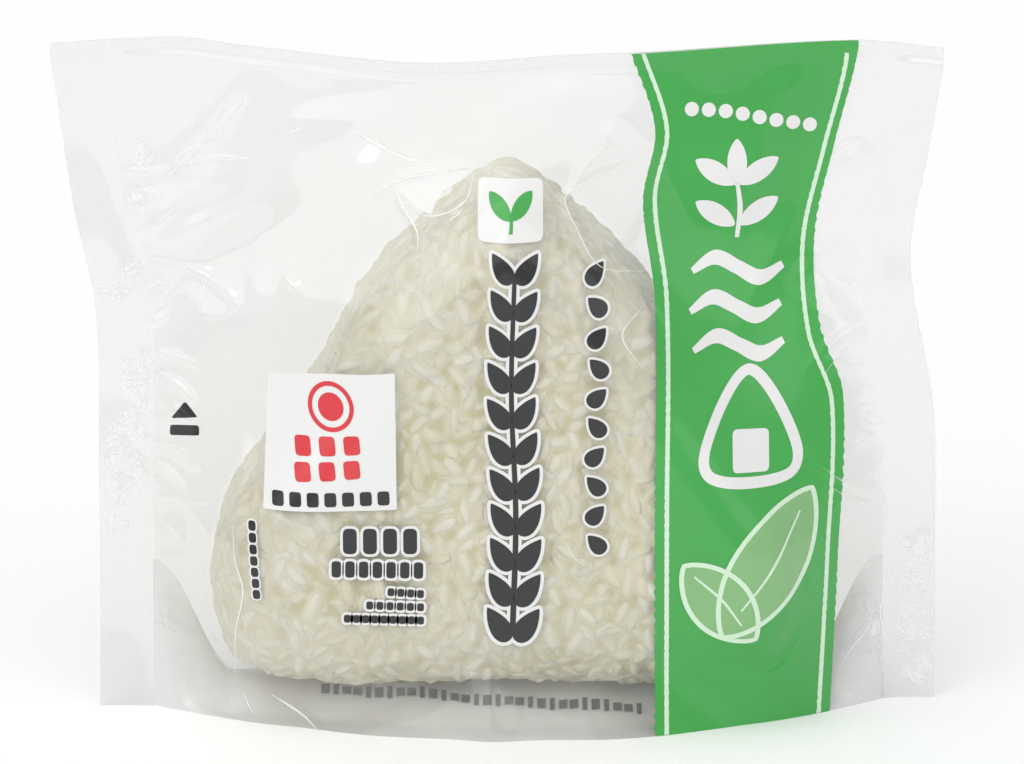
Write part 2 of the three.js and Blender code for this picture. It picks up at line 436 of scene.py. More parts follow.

# %% [markdown]
# The folds that stand out on the front are placed one by one: the facet beside the apex, the
# long fold that turns down beside the stripe, the folds at the lower corners where the base
# is drawn up, and the loose loops at the upper left. Each also gets a thin painted highlight
# line along its crest, made later. The glints are broad painted highlight streaks without a fold.

# %% Named folds of the front: [x, z] points, height, width and width of the painted highlight line
NAMED_FOLDS = {
    "apex_roof": ([(-20, 84.5), (-15.9, 87.3), (-9, 89.0), (-3.5, 89.9)], 1.1, 1.2, 0.45),
    "apex_eave": ([(-3.5, 89.9), (-5.0, 85.4), (-10.6, 82.8), (-15.4, 84.4)], 0.6, 0.6, 0.4),
    "apex_tail": ([(-15.9, 87.3), (-15.4, 84.4), (-12.7, 80.5), (-12.5, 77.5)], 0.5, 0.5, 0.7),
    "stripe_fold": ([(19.0, 92.7), (14.8, 90.5), (12.1, 87.1)], 0.5, 0.7, 0.35),
    "stripe_turn": ([(22.8, 90.0), (11.6, 86.5), (10.8, 85.2), (12.4, 81.6), (16.3, 75.5), (23.2, 73.6)],
                    0.5, 0.6, 0.32),
    "stripe_arc": ([(23.2, 68.9), (19.8, 65.2), (23.4, 59.4)], 0.4, 0.5, 0.35),
    "short_middle": ([(10.8, 32.0), (12.3, 29.2), (14.5, 27.6)], 0.3, 0.45, 0.3),
    "left_foot": ([(-42.3, 33.0), (-41.9, 28.0), (-40.6, 23.2), (-41.9, 16.1), (-42.3, 6.7)],
                  0.4, 0.5, 0.4),
    "left_toe": ([(-41.0, 5.1), (-39.9, 2.6), (-38.6, 1.2)], 0.45, 0.5, 0.4),
    "left_toe_inner": ([(-36.3, 5.3), (-31.2, 2.2), (-28.5, -0.5)], 0.45, 0.5, 0.6),
    "upper_loop": ([(-60.1, 71.0), (-54.4, 72.4), (-47.5, 70.8), (-42.1, 67.1), (-44.0, 64.9),
                    (-47.9, 64.2)], 0.5, 0.6, 0.4),
    "upper_spot": ([(-34.0, 71.7), (-31.5, 69.7)], 0.6, 0.9, 1.1),
    "right_foot": ([(64.7, 22.6), (62.6, 14.7), (63.5, 9.6), (62.7, 6.4), (65.3, 0.8)], 0.5, 0.5, 0.5),
    "right_foot_twin": ([(62.6, 14.7), (60.6, 12.6), (58.8, 10.5)], 0.45, 0.5, 0.3),
    "right_toe": ([(60.0, 11.9), (57.6, 9.6), (55.5, 7.1)], 0.4, 0.45, 0.3),
    "right_shoulder": ([(58.6, 47.5), (61.5, 45.6), (63.2, 46.4)], 0.5, 0.6, 0.3),
    "right_wrist": ([(62.9, 42.5), (62.0, 36.5), (63.4, 31.5), (61.4, 26.5)], 0.35, 0.5, 0.3),
}
# Painted highlight lines along the fold crests: points and line width.
CREASE_HIGHLIGHTS = [(points, line) for points, _, _, line in NAMED_FOLDS.values()]
# Glints: painted highlights, broad white streaks where the film would mirror a lamp, as points and
# width.
GLINTS = [
    ([(-53.0, 86.0), (-46.0, 93.6), (-39.0, 100.6)], 2.4),
    ([(-51.8, 87.8), (-46.0, 89.6), (-40.0, 89.6)], 2.2),
    ([(-33.0, 93.6), (-31.0, 95.0)], 0.9),
    ([(-50.0, 71.6), (-47.6, 69.6), (-46.6, 66.0)], 0.6),
    ([(-57.8, 67.0), (-54.0, 69.0), (-52.6, 64.0)], 0.8),
    ([(-24.0, 94.8), (-16.0, 91.0), (-8.0, 89.4)], 1.0),
]

for points, height, width, _ in NAMED_FOLDS.values():
    add_ridge(front, points, height, width)
print("named folds", len(NAMED_FOLDS))

# %% [markdown]
# Along each side seal the film is gathered: short puckers start at the seal and run inwards,
# and behind them the slack film breaks into facets. They follow a rule with a fixed seed. The
# tallest puckers of the front get a painted highlight line along the crest too.

# %% Puckers and facets
FOLD_SEED = 7
LINED_RISE, LINE_SHARE = 0.4, 0.45
PUCKER_HEIGHTS = (6, 92)
dice = np.random.default_rng(FOLD_SEED)


def pucker_the_seal(face, edge, inward, count, heights):
    for height in np.linspace(*heights, count) + dice.uniform(-1.6, 1.6, count):
        start = float(edge(height)) + inward * SIDE_SEAL
        length = dice.uniform(3, 11)
        drop = dice.uniform(-0.9, 0.9) * length
        end = (start + inward * length, height + drop)
        bend = (start + inward * length * 0.5, height + drop * 0.3)
        rise = dice.uniform(0.15, 0.5)
        add_ridge(face, [(start, height), bend, end], rise, dice.uniform(0.35, 0.7))
        # The tallest front puckers get a painted highlight line along the crest.
        if face["side"] == FRONT and rise > LINED_RISE:
            CREASE_HIGHLIGHTS.append(([(start, height), bend, end], LINE_SHARE * rise))


def slacken(face, count):
    for _ in range(count):
        centre = (dice.uniform(-60, 64), dice.uniform(4, 100))
        add_kink(face, centre, dice.uniform(0, math.pi), dice.uniform(-0.25, 0.25), dice.uniform(5, 14))


for face in (front, back):
    pucker_the_seal(face, left_edge, 1, 26, PUCKER_HEIGHTS)
    pucker_the_seal(face, right_edge, -1, 22, PUCKER_HEIGHTS)
    slacken(face, 75)
    face["y"] = face["side"] * np.maximum(face["side"] * face["y"], face["least"])
print("film ranges", round(float(front["y"].min()), 1), "to", round(float(back["y"].max()), 1), "mm")

# %% [markdown]
# ## From face to sheet
#
# A sheet is a face with its half of the side seals and of the top seal round it. The seals
# are two films pressed flat, a quarter of a millimetre apart here, and they wave a little. Every
# point also notes how cloudy its film is: clearest where it lies wet on the rice, a little hazy
# where it hangs free and towards the foot beside the rice, then the seals, and most at the rim.
# A soft ceiling keeps smooth film under a quarter: past that the denoiser draws thin lines on it.

# %% Sheet with seals
SEAL_PLACES = (0.0, 0.025, *np.linspace(0.08, 0.96, 15).tolist())
TOP_SEAL_STEPS = 5
SEAL_WAVE = 0.7
PANEL_RIDGE = 24.0
HAZE_ON_RICE, HAZE_FREE, HAZE_SEAL, HAZE_RIM = 0.08, 0.13, 0.2, 0.4
HAZE_FOOT, HAZE_CLOUD, HAZE_MOST = 0.2, 0.16, 0.23
SEAL_ABOVE_RIDGE = 0.03
FREE_GAP, CLOUD_GAP, FOOT_GAP = (0.2, 9.0), (0.0, 5.0), (0, 3)
FOOT_HEIGHT, LOW_HEIGHT = (42, 2), (15, 7)
LEFT_SIDE, RIGHT_SIDE = (-30, -46), (44, 58)
FOOT_IN_MIDDLE, LOW_CLEARED = 0.12, 0.35


def clouds(x, z):
    soft = np.sin(x / 6.1 + 1.3 * np.sin(z / 9.7)) * np.sin(z / 7.3 + 1.1 * np.sin(x / 11.9) + 0.8)
    return 0.5 + 0.5 * soft * np.sin((x + 1.7 * z) / 31.0)


def seal_columns(side, rows, edge, inward, across, places):
    up = np.linspace(0, 1, rows + 1)[None, :]
    place = np.array(places)[:, None]
    x = edge(up * BAG_HEIGHT) + inward * SIDE_SEAL * place
    z = up * (top_edge(x) - TOP_SEAL)
    wave = np.sin(z / 9.0 + 2.0 * across) * np.sin(z / 23.0 + 1.0)
    y = middle_y(across, up) + side * SEAL_GAP / 2 + SEAL_WAVE * wave * smooth_step(0, 0.6, 1 - place)
    haze = np.where(place < 0.02, HAZE_RIM, HAZE_SEAL)
    return x, y, z, haze + SEAL_ABOVE_RIDGE * smooth_step(PANEL_RIDGE, 10, z)


def body_haze(face):
    x, z, gap = face["x"], face["z"], face["gap"]
    haze = mix(HAZE_ON_RICE, HAZE_FREE, smooth_step(*FREE_GAP, gap))
    haze = haze + HAZE_CLOUD * clouds(x, z) * smooth_step(*CLOUD_GAP, gap)
    if face["side"] == FRONT:
        beside = np.minimum(smooth_step(*LEFT_SIDE, x) + smooth_step(*RIGHT_SIDE, x), 1)
        foot = HAZE_FOOT * smooth_step(*FOOT_HEIGHT, z) * smooth_step(*FOOT_GAP, gap)
        haze = haze + foot * mix(FOOT_IN_MIDDLE, 1, beside)
        haze = haze * (1 - LOW_CLEARED * smooth_step(*LOW_HEIGHT, z) * (1 - beside))
    return HAZE_MOST * np.tanh(haze / HAZE_MOST)


def sheet_of(face):
    rows = face["y"].shape[1] - 1
    side = face["side"]
    left = seal_columns(side, rows, left_edge, 1, 0.0, SEAL_PLACES)
    right = seal_columns(side, rows, right_edge, -1, 1.0, SEAL_PLACES[::-1])
    body = (face["x"], face["y"], face["z"], body_haze(face))
    x, y, z, haze = [np.concatenate(parts, axis=0) for parts in zip(left, body, right)]
    lift = np.linspace(0, 1, TOP_SEAL_STEPS + 1)[1:][None, :]
    rim_x = np.repeat(x[:, -1:], TOP_SEAL_STEPS, axis=1)
    rim_z = mix(z[:, -1:], top_edge(x[:, -1:]), lift)
    rim_y = np.full(rim_x.shape, TOP_SEAL_Y + side * SEAL_GAP / 2)
    rim_haze = np.where(lift > 0.99, HAZE_RIM, HAZE_SEAL) + 0 * rim_x
    parts = ((x, rim_x), (y, rim_y), (z, rim_z), (haze, rim_haze))
    x, y, z, haze = [np.concatenate(pair, axis=1) for pair in parts]
    return {"x": x, "y": y, "z": z, "haze": haze, "side": side}


front_sheet = sheet_of(front)
back_sheet = sheet_of(back)
print("front sheet", front_sheet["x"].shape, "back sheet", back_sheet["x"].shape)

# %% [markdown]
# Where the side seals were pressed unevenly they are cockled: small bumps, each with a painted
# highlight, a white blotch and a short crooked white line.

# %% Cockles pressed into the side seals
SEAL_COCKLES = ((66.0, 70.4, 2, 27, 30), (-63.6, -57.4, 66, 73, 9), (-63.0, -60.0, 29, 46, 24),
                (-60.0, -56.6, 36, 57, 34), (-59.0, -55.0, 82, 92, 10))
COCKLE_WIDTH = 0.6
# The blotch share paints a highlight into the haze of the seal.
BLOTCH_HIGHLIGHT_SHARE, HAZE_CEILING = 0.3, 0.75
SEAL_HIGHLIGHTS = []


def cockle_the_seals():
    for low_x, high_x, low_z, high_z, count in SEAL_COCKLES:
        for _ in range(count):
            x, z = dice.uniform(low_x, high_x), dice.uniform(low_z, high_z)
            angle = dice.uniform(0, math.pi)
            half = dice.uniform(0.4, 1.6)
            ends = [(x - half * math.cos(angle), z - half * math.sin(angle)),
                    (x + half * math.cos(angle), z + half * math.sin(angle))]
            height = dice.uniform(0.04, 0.16)
            wide = dice.uniform(0.5, 1.1)
            away = np.hypot(front_sheet["x"] - x, front_sheet["z"] - z) / wide
            # Painted highlight: a white blotch over the cockle.
            front_sheet["haze"] += BLOTCH_HIGHLIGHT_SHARE * np.exp(-away ** 2)
            for sheet, turn in ((front_sheet, 1), (back_sheet, -1)):
                add_ridge(sheet, ends, turn * height, COCKLE_WIDTH)
            bend = (x + dice.uniform(-0.6, 0.6), z + dice.uniform(-0.6, 0.6))
            # Painted highlight: a short crooked white line over the cockle.
            SEAL_HIGHLIGHTS.append(([ends[0], bend, ends[1]], dice.uniform(0.25, 0.8)))
    np.clip(front_sheet["haze"], 0, HAZE_CEILING, out=front_sheet["haze"])


cockle_the_seals()
print("cockles in the side seals", len(SEAL_HIGHLIGHTS))

# %% [markdown]
# ## Base panel
#
# The base is a third strip of film between the two creases. It lies flat beside them, rises
# under the rice, and near each side seal it stands up in a ridge, where it is still folded
# in half. Its outer columns are pressed between the two sheets.

# %% Base panel
PANEL_VAULT = 4.4
RIDGE_FALL = (1.0, 13.0)
PANEL_FLAT = 0.78
PANEL_CROWN = 0.1
PANEL_STEPS = 36
PANEL_GAP = 0.12
HAZE_PANEL, HAZE_RIDGE = 0.95, 0.04
RIDGE_CLEARS = (12, 23.5)
FLOOR_GAP = 0.05


def row_at(face, columns):
    picks = np.linspace(0, face["x"].shape[0] - 1, columns + 1).astype(int)
    return {name: face[name][picks] for name in ("x", "y", "z")}


def face_y_at(line, z):
    return np.stack([np.interp(z[i], line["z"][i], line["y"][i]) for i in range(len(z))])


def base_panel():
    columns = back["x"].shape[0] - 1
    near, far = row_at(front, columns), row_at(back, columns)
    x = near["x"][:, :1] + np.zeros((1, PANEL_STEPS + 1))
    t = np.linspace(0, 1, PANEL_STEPS + 1)[None, :]
    out = np.abs(2 * t - 1)
    from_seal = np.minimum(x - x[0], x[-1] - x)
    ridge = 1 - smooth_step(*RIDGE_FALL, from_seal)
    height = mix(PANEL_VAULT, PANEL_RIDGE, ridge)
    z = height * mix(1 - smooth_step(PANEL_CROWN, PANEL_FLAT, out), 1 - out, ridge)
    wrinkle = 0.5 * np.sin(x / 3.1 + 9 * t) * np.sin(np.pi * t) * np.sin(x / 7.7)
    z = np.maximum(z + wrinkle * (1 - ridge), 0) + FLOOR_GAP * np.sin(np.pi * t)
    y = mix(near["y"][:, :1], far["y"][:, :1], t)
    low = face_y_at(near, z) + PANEL_GAP
    high = face_y_at(far, z) - PANEL_GAP
    inner = np.clip(y, np.minimum(low, high), np.maximum(low, high))
    y = np.where(out < 0.999, inner, y)
    cleared = smooth_step(0.0, 0.5, ridge) * smooth_step(*RIDGE_CLEARS, z)
    haze = mix(HAZE_PANEL, HAZE_RIDGE, cleared)
    return {"x": x, "y": y, "z": z, "haze": haze, "side": BACK, "ridge": ridge}


panel = base_panel()
print("base panel rises to", round(float(panel["z"].max()), 1), "mm")

# %% [markdown]
# ## Film meshes
#
# Each sheet becomes a grid mesh, with its cloudiness as a vertex attribute named haze. The
# front sheet also gets the thin rim that closes it to the back one.

# %% Grid meshes
def grid_points(sheet):
    return np.stack([sheet["x"], sheet["y"], sheet["z"]], axis=-1).reshape(-1, 3)


def grid_quads(columns, rows, outward_front):
    index = np.arange(columns * rows).reshape(columns, rows)
    a, b, c, d = index[:-1, :-1], index[1:, :-1], index[1:, 1:], index[:-1, 1:]
    order = (a, b, c, d) if outward_front else (d, c, b, a)
    return np.stack(order, axis=-1).reshape(-1, 4)


def shade_smooth(mesh):
    mesh.polygons.foreach_set("use_smooth", [True] * len(mesh.polygons))


def new_piece(name, points, faces, material):
    mesh = bpy.data.meshes.new(name)
    mesh.from_pydata((np.asarray(points) * MM).tolist(), [], [tuple(f) for f in faces])
    mesh.materials.append(material)
    shade_smooth(mesh)
    mesh.validate()
    return new_object(name, mesh)


def joined(shapes):
    points, faces, start = [], [], 0
    for part, part_faces in shapes:
        points.append(np.asarray(part, float))
        faces += [tuple(int(i) + start for i in face) for face in part_faces]
        start += len(part)
    return np.concatenate(points), faces


def note_values(mesh, name, values):
    layer = mesh.attributes.new(name, "FLOAT", "POINT")
    layer.data.foreach_set("value", np.asarray(values, np.float32))


def hazy_piece(name, shapes, haze, material):
    piece = new_piece(name, *joined(shapes), material)
    note_values(piece.data, "haze", np.concatenate(haze))
    return piece


def tell_size(piece):
    print(piece.name, sum(len(p.vertices) - 2 for p in piece.data.polygons), "triangles")


def rim_strip(sheet):
    ring = [(sheet["x"][0], sheet["y"][0], sheet["z"][0])]
    ring.append((sheet["x"][1:, -1], sheet["y"][1:, -1], sheet["z"][1:, -1]))
    ring.append((sheet["x"][-1, -2::-1], sheet["y"][-1, -2::-1], sheet["z"][-1, -2::-1]))
    near = np.concatenate([np.stack(part, axis=-1) for part in ring])
    far = near + (0, SEAL_GAP, 0)
    return np.stack([near, far], axis=1)


# %% [markdown]
# Steam from the rice settles on the inside of the front film as a fine white mist, densest
# round the rim of the ball and above its apex. It is a second sheet close behind the first,
# made only where there is mist.

# %% Mist sheet
MIST_BEHIND = 0.05
MIST_BRIM, MIST_LOW, MIST_PEAK, MIST_MOST = 0.34, 0.14, 0.16, 0.245
MIST_LEAST = 0.004
PEAK, PEAK_REACH = (1.6, 87.0), (26, 19)
BRIM_OUTSIDE, BRIM_INSIDE, BRIM_HEIGHT = (-14, 3), (18, 4), (8, 24)
LOW_RICE, LOW_GAP, PEAK_GAP = (34, 10), (2, 0), (7, 1)


def mist_of(face):
    inside, z, gap = face["inside"], face["z"], face["gap"]
    away = np.hypot((face["x"] - PEAK[0]) / PEAK_REACH[0], (z - PEAK[1]) / PEAK_REACH[1])
    brim = smooth_step(*BRIM_OUTSIDE, inside) * smooth_step(*BRIM_INSIDE, inside)
    mist = MIST_BRIM * brim * smooth_step(*BRIM_HEIGHT, z)
    mist = mist + MIST_LOW * smooth_step(*LOW_RICE, z) * smooth_step(*LOW_GAP, gap)
    mist = mist + MIST_PEAK * np.exp(-away ** 2) * smooth_step(*PEAK_GAP, gap)
    return MIST_MOST * np.tanh(mist / MIST_MOST)


def mist_sheet(face):
    mist = mist_of(face)
    quads = grid_quads(*mist.shape, True)
    quads = quads[mist.reshape(-1)[quads].max(1) > MIST_LEAST]
    used, quads = np.unique(quads, return_inverse=True)
    points = grid_points(face)[used] + (0, MIST_BEHIND, 0)
    return points, quads.reshape(-1, 4), mist.reshape(-1)[used]


# %% [markdown]
# ## Film finish
#
# Clear film passes almost all light, mirrors more of it at a glancing angle, and has a
# faint white cloudiness. So its material mixes a see-through shader, a mirror weighed by the
# angle of view (alike from both sides, since film has no inside), and a pale body weighed by the
# haze attribute, which lets a share of the light through to its other side. The mist and the
# painted highlight lines lie on that film, so theirs is the same without tint and mirror; on the
# highlight lines the haze attribute carries the painted highlight. A shared node group gives the
# slight ripple of drawn film, so reflections run on from bare to printed film.

# %% Film ripple
RIPPLES_PER_METRE = 80.0
RIPPLE_STRENGTH, RIPPLE_DEPTH = 0.25, 0.4


def film_ripple_group():
    group = bpy.data.node_groups.new("film_ripple", "ShaderNodeTree")
    for label, way in (("Ripples per metre", "INPUT"), ("Height", "OUTPUT")):
        group.interface.new_socket(label, in_out=way, socket_type="NodeSocketFloat")
    entry = add_node(group, "NodeGroupInput")
    place = add_node(group, "ShaderNodeTexCoord")
    broad = add_node(group, "ShaderNodeTexNoise", {
        "Vector": place.outputs["Object"], "Scale": entry.outputs["Ripples per metre"],
        "Detail": 1.0, "Roughness": 0.45})
    add_node(group, "NodeGroupOutput", {"Height": broad.outputs["Fac"]})
    return group


FILM_RIPPLE = film_ripple_group()


def add_ripple(tree):
    ripple = add_node(tree, "ShaderNodeGroup", {}, node_tree=FILM_RIPPLE)
    set_inputs(tree, ripple, {"Ripples per metre": RIPPLES_PER_METRE})
    bump = add_node(tree, "ShaderNodeBump", {
        "Height": ripple.outputs["Height"], "Strength": RIPPLE_STRENGTH,
        "Distance": RIPPLE_DEPTH * MM})
    return bump.outputs["Normal"]


# %% Clear film
FILM_TINT, NO_TINT = (0.955, 0.957, 0.955, 1), (1, 1, 1, 1)
FILM_BODY, BODY_ROUGHNESS = (0.95, 0.95, 0.95, 1), 0.4
THROUGH_SHARE = 0.2
FILM_MIRROR, MIRROR_TINT, MIRROR_ROUGHNESS = 0.06, (0.97, 0.97, 0.97, 1), 0.07
GLANCE_POWER = 5.0


def mirrored(tree, under, normal):
    mirror = add_node(tree, "ShaderNodeBsdfGlossy", {
        "Color": MIRROR_TINT, "Roughness": MIRROR_ROUGHNESS, "Normal": normal})
    glance = add_node(tree, "ShaderNodeLayerWeight", {"Normal": normal})
    steep = add_math(tree, "POWER", glance.outputs["Facing"], GLANCE_POWER)
    share = add_math(tree, "MULTIPLY_ADD", steep, 1 - FILM_MIRROR, FILM_MIRROR)
    glossy = add_node(tree, "ShaderNodeMixShader", {
        "Fac": share, 1: under, 2: mirror.outputs["BSDF"]})
    return glossy.outputs["Shader"]


def film_material(name, tint, with_mirror):
    material, tree = new_material(name)
    tree.nodes.clear()
    normal = add_ripple(tree)
    clear = add_node(tree, "ShaderNodeBsdfTransparent", {"Color": tint})
    cloud = add_node(tree, "ShaderNodeBsdfPrincipled", {
        "Base Color": FILM_BODY, "Roughness": BODY_ROUGHNESS, "Normal": normal})
    through = add_node(tree, "ShaderNodeBsdfTranslucent", {"Color": FILM_BODY, "Normal": normal})
    body = add_node(tree, "ShaderNodeMixShader", {
        "Fac": THROUGH_SHARE, 1: cloud.outputs["BSDF"], 2: through.outputs["BSDF"]})
    haze = add_node(tree, "ShaderNodeAttribute", attribute_name="haze")
    haze_and_highlight = add_node(tree, "ShaderNodeMixShader", {
        "Fac": haze.outputs["Fac"], 1: clear.outputs["BSDF"], 2: body.outputs["Shader"]})
    surface = haze_and_highlight.outputs["Shader"]
    if with_mirror:
        surface = mirrored(tree, surface, normal)
    add_node(tree, "ShaderNodeOutputMaterial", {"Surface": surface})
    return material


CLEAR_FILM = film_material("clear_film", FILM_TINT, True)
# Material of the mist sheet and of the painted highlight lines.
MIST_AND_HIGHLIGHT_FILM = film_material("mist_and_highlight_film", NO_TINT, False)


def film_piece(name, sheet, strip=None):
    shapes = [(grid_points(sheet), grid_quads(*sheet["x"].shape, sheet["side"] == FRONT))]
    haze = [sheet["haze"].reshape(-1)]
    if strip is not None:
        shapes.append((strip.reshape(-1, 3), grid_quads(len(strip), 2, False)))
        haze.append(np.full(len(strip) * 2, HAZE_RIM))
    return hazy_piece(name, shapes, haze, CLEAR_FILM)


# %% Film pieces
FOLDED_RIDGE = 0.02
film_front = film_piece("film_front", front_sheet, rim_strip(front_sheet))
film_back = film_piece("film_back", back_sheet)
film_base = film_piece("film_base", panel)
mist_points, mist_quads, mist = mist_sheet(front)
film_mist = hazy_piece("film_mist", [(mist_points, mist_quads)], [mist], MIST_AND_HIGHLIGHT_FILM)
folded = np.repeat(panel["ridge"][:-1, 0] > FOLDED_RIDGE, PANEL_STEPS)
film_base.data.polygons.foreach_set("use_smooth", ~folded)
for piece in (film_front, film_back, film_base, film_mist):
    tell_size(piece)

# %% [markdown]
# ## Rice finish
#
# Cooked rice is white with a warm, slightly yellow depth, moist, and lets light in a little.
# Every point carries a tone, a number from 0 to 1 that shifts it from pale to deep: each grain
# has its own, and on the rice between the grains the tone is painted shade, deepest in its
# hollows. Fine mottling and broad patches shift it further.

# %% Rice materials
MOTTLE_SCALE, MOTTLE_SHARE = 420.0, 0.5
PATCH_SCALE, PATCH_LOW, PATCH_HIGH, PATCH_SHARE = 42.0, 0.42, 0.7, 0.5
TONE_GAIN, TONE_SHIFT = 0.9, -0.15
RICE_BUMP, RICE_BUMP_DEPTH = 0.35, 0.15
RICE_FINISH = {"Roughness": 0.34, "Subsurface Weight": 0.3,
               "Subsurface Radius": (1.0, 0.95, 0.8), "Subsurface Scale": 1.0 * MM}


def noise_of(tree, scale, detail):
    place = add_node(tree, "ShaderNodeTexCoord").outputs["Object"]
    inputs = {"Vector": place, "Scale": scale, "Detail": detail}
    return add_node(tree, "ShaderNodeTexNoise", inputs).outputs["Fac"]


def two_tones(tree, share, pale, deep):
    inputs = {"Factor": share, "A": (*pale, 1), "B": (*deep, 1)}
    return add_node(tree, "ShaderNodeMix", inputs, data_type="RGBA").outputs["Result"]


def rice_material(name, pale, deep):
    material, tree = new_material(name)
    mottle = noise_of(tree, MOTTLE_SCALE, 4.0)
    patch = add_node(tree, "ShaderNodeMapRange", {
        "Value": noise_of(tree, PATCH_SCALE, 1.0), "From Min": PATCH_LOW, "From Max": PATCH_HIGH,
        "To Max": PATCH_SHARE})
    depth = add_node(tree, "ShaderNodeAttribute", attribute_name="tone").outputs["Fac"]
    spread = add_math(tree, "MULTIPLY_ADD", depth, TONE_GAIN, TONE_SHIFT)
    patched = add_math(tree, "ADD", spread, patch.outputs["Result"])
    share = add_math(tree, "MULTIPLY_ADD", mottle, MOTTLE_SHARE, patched, use_clamp=True)
    bump = add_node(tree, "ShaderNodeBump", {
        "Height": mottle, "Strength": RICE_BUMP, "Distance": RICE_BUMP_DEPTH * MM})
    set_inputs(tree, tree.nodes["Principled BSDF"], {
        **RICE_FINISH, "Base Color": two_tones(tree, share, pale, deep),
        "Normal": bump.outputs["Normal"]})
    return material


GRAIN_RICE = rice_material("grain_rice", (0.85, 0.82, 0.70), (0.73, 0.69, 0.49))
# The deep colour of the rice between the grains is painted shade in its hollows.
MASS_RICE = rice_material("mass_rice", (0.79, 0.75, 0.58), (0.60, 0.55, 0.31))
print("rice materials", GRAIN_RICE.name, MASS_RICE.name)

# %% [markdown]
# ## Rice core
#
# The core is the ball a little smaller than its true size, with bumps as large as grains.
# It is lofted from the front face over the rim to the back face, as rings of the outline.

# %% Rice core
CORE_INSET = 1.3
CORE_RINGS_FACE = 44
CORE_RINGS_RIM = 18
CORE_OUTLINE_STEPS = 22
CORE_MIDDLE = 33.0
WALL_HALF, WALL_ROWS = 4.5, 4
CORE_BUMP, BUMP_CELL = 0.4, 2.6


def inward_normals(ring):
    step = np.roll(ring, -1, 0) - np.roll(ring, 1, 0)
    normal = np.stack([step[:, 1], -step[:, 0]], axis=1)
    normal /= np.linalg.norm(normal, axis=1)[:, None]
    centre = ring.mean(0)
    toward = ((centre - ring) * normal).sum(1, keepdims=True)
    return normal * np.sign(toward)


def core_rings():
    ring = ball_outline(CORE_OUTLINE_STEPS)
    inward = inward_normals(ring)
    centre = np.array([BALL_X, CORE_MIDDLE])
    flat = ring + inward * BALL_RIM
    half = BALL_THICKNESS / 2
    rings = []
    for side in (FRONT, BACK):
        level = side * (half - CORE_INSET)
        steps = [k / CORE_RINGS_FACE for k in range(1, CORE_RINGS_FACE)]
        rings.append([(mix(centre, flat, step), level) for step in steps])
        for k in range(CORE_RINGS_RIM + 1):
            turn = math.pi / 2 * k / CORE_RINGS_RIM
            inset = CORE_INSET + (BALL_RIM - CORE_INSET) * (1 - math.sin(turn))
            depth = half - BALL_RIM + (BALL_RIM - CORE_INSET) * math.cos(turn)
            rings[-1].append((ring + inward * inset, side * depth))
    wall = [(rings[0][-1][0], y) for y in np.linspace(-WALL_HALF, WALL_HALF, WALL_ROWS)]
    return rings[0] + wall + rings[1][::-1], centre


def place_all(mesh, at):
    mesh.vertices.foreach_set("co", at.reshape(-1))
    mesh.update()


def bumpy(points, amount):
    lumps = [Vector([c / BUMP_CELL for c in p]) for p in points]
    return np.array([noise.noise(v) + 0.5 * noise.noise(v * 0.35) for v in lumps]) * amount


def rice_core():
    rings, centre = core_rings()
    count = len(rings[0][0])
    points = [np.column_stack([p[:, 0], np.full(count, BALL_Y + y), p[:, 1]]) for p, y in rings]
    points = np.concatenate(points)
    half = BALL_THICKNESS / 2 - CORE_INSET
    poles = np.array([[centre[0], BALL_Y + side * half, centre[1]] for side in (FRONT, BACK)])
    index = np.arange(len(rings) * count).reshape(len(rings), count)
    after = np.roll(index, -1, 1)
    quads = np.stack([index[:-1], index[1:], after[1:], after[:-1]], axis=-1).reshape(-1, 4).tolist()
    first, last = len(points), len(points) + 1
    quads += [(first, index[0, k], after[0, k]) for k in range(count)]
    quads += [(last, after[-1, k], index[-1, k]) for k in range(count)]
    core = new_piece("rice_core", np.concatenate([points, poles]), quads, MASS_RICE)
    shell = bmesh.new()
    shell.from_mesh(core.data)
    bmesh.ops.recalc_face_normals(shell, faces=shell.faces)
    shell.to_mesh(core.data)
    shell.free()
    normals = np.array([v.normal for v in core.data.vertices])
    at = np.array([v.co for v in core.data.vertices])
    moved = at + normals * (bumpy(at / MM, CORE_BUMP) * MM)[:, None]
    place_all(core.data, moved)
    return core


core = rice_core()
print("rice core", len(core.data.polygons), "faces")

# %% [markdown]
# ## Rice grains
#
# A cooked short grain is 5 to 6 mm long and nearly 3 mm wide, blunt, a little bent and a little
# flattened. Four grains are modelled from rings, and Geometry Nodes lay thousands of them on
# the core: points spread evenly, each grain flat on the surface, up to 75 degrees to either side
# of upright, with a random turn, size and tone. The tree has named inputs and a seed.

# %% One grain
GRAIN_SIDES, GRAIN_RINGS = 7, 5


def grain_mesh(name, length, width, depth, bend):
    points = [(-length / 2, 0, 0)]
    for k in range(GRAIN_RINGS):
        along = -math.cos(math.pi * (k + 0.75) / (GRAIN_RINGS + 0.5))
        girth = (1 - abs(along) ** 2.6) ** 0.5
        for s in range(GRAIN_SIDES):
            turn = 2 * math.pi * s / GRAIN_SIDES
            y = width / 2 * girth * math.cos(turn) + bend * (1 - along ** 2)
            points.append((along * length / 2, y, depth / 2 * girth * math.sin(turn)))
    points.append((length / 2, 0, 0))
    faces = []
    for s in range(GRAIN_SIDES):
        t = (s + 1) % GRAIN_SIDES
        faces.append((0, 1 + t, 1 + s))
        for k in range(GRAIN_RINGS - 1):
            a, b = 1 + k * GRAIN_SIDES, 1 + (k + 1) * GRAIN_SIDES
            faces.append((a + s, a + t, b + t, b + s))
        end = 1 + (GRAIN_RINGS - 1) * GRAIN_SIDES
        faces.append((end + s, end + t, len(points) - 1))
    return new_piece(name, points, faces, GRAIN_RICE)


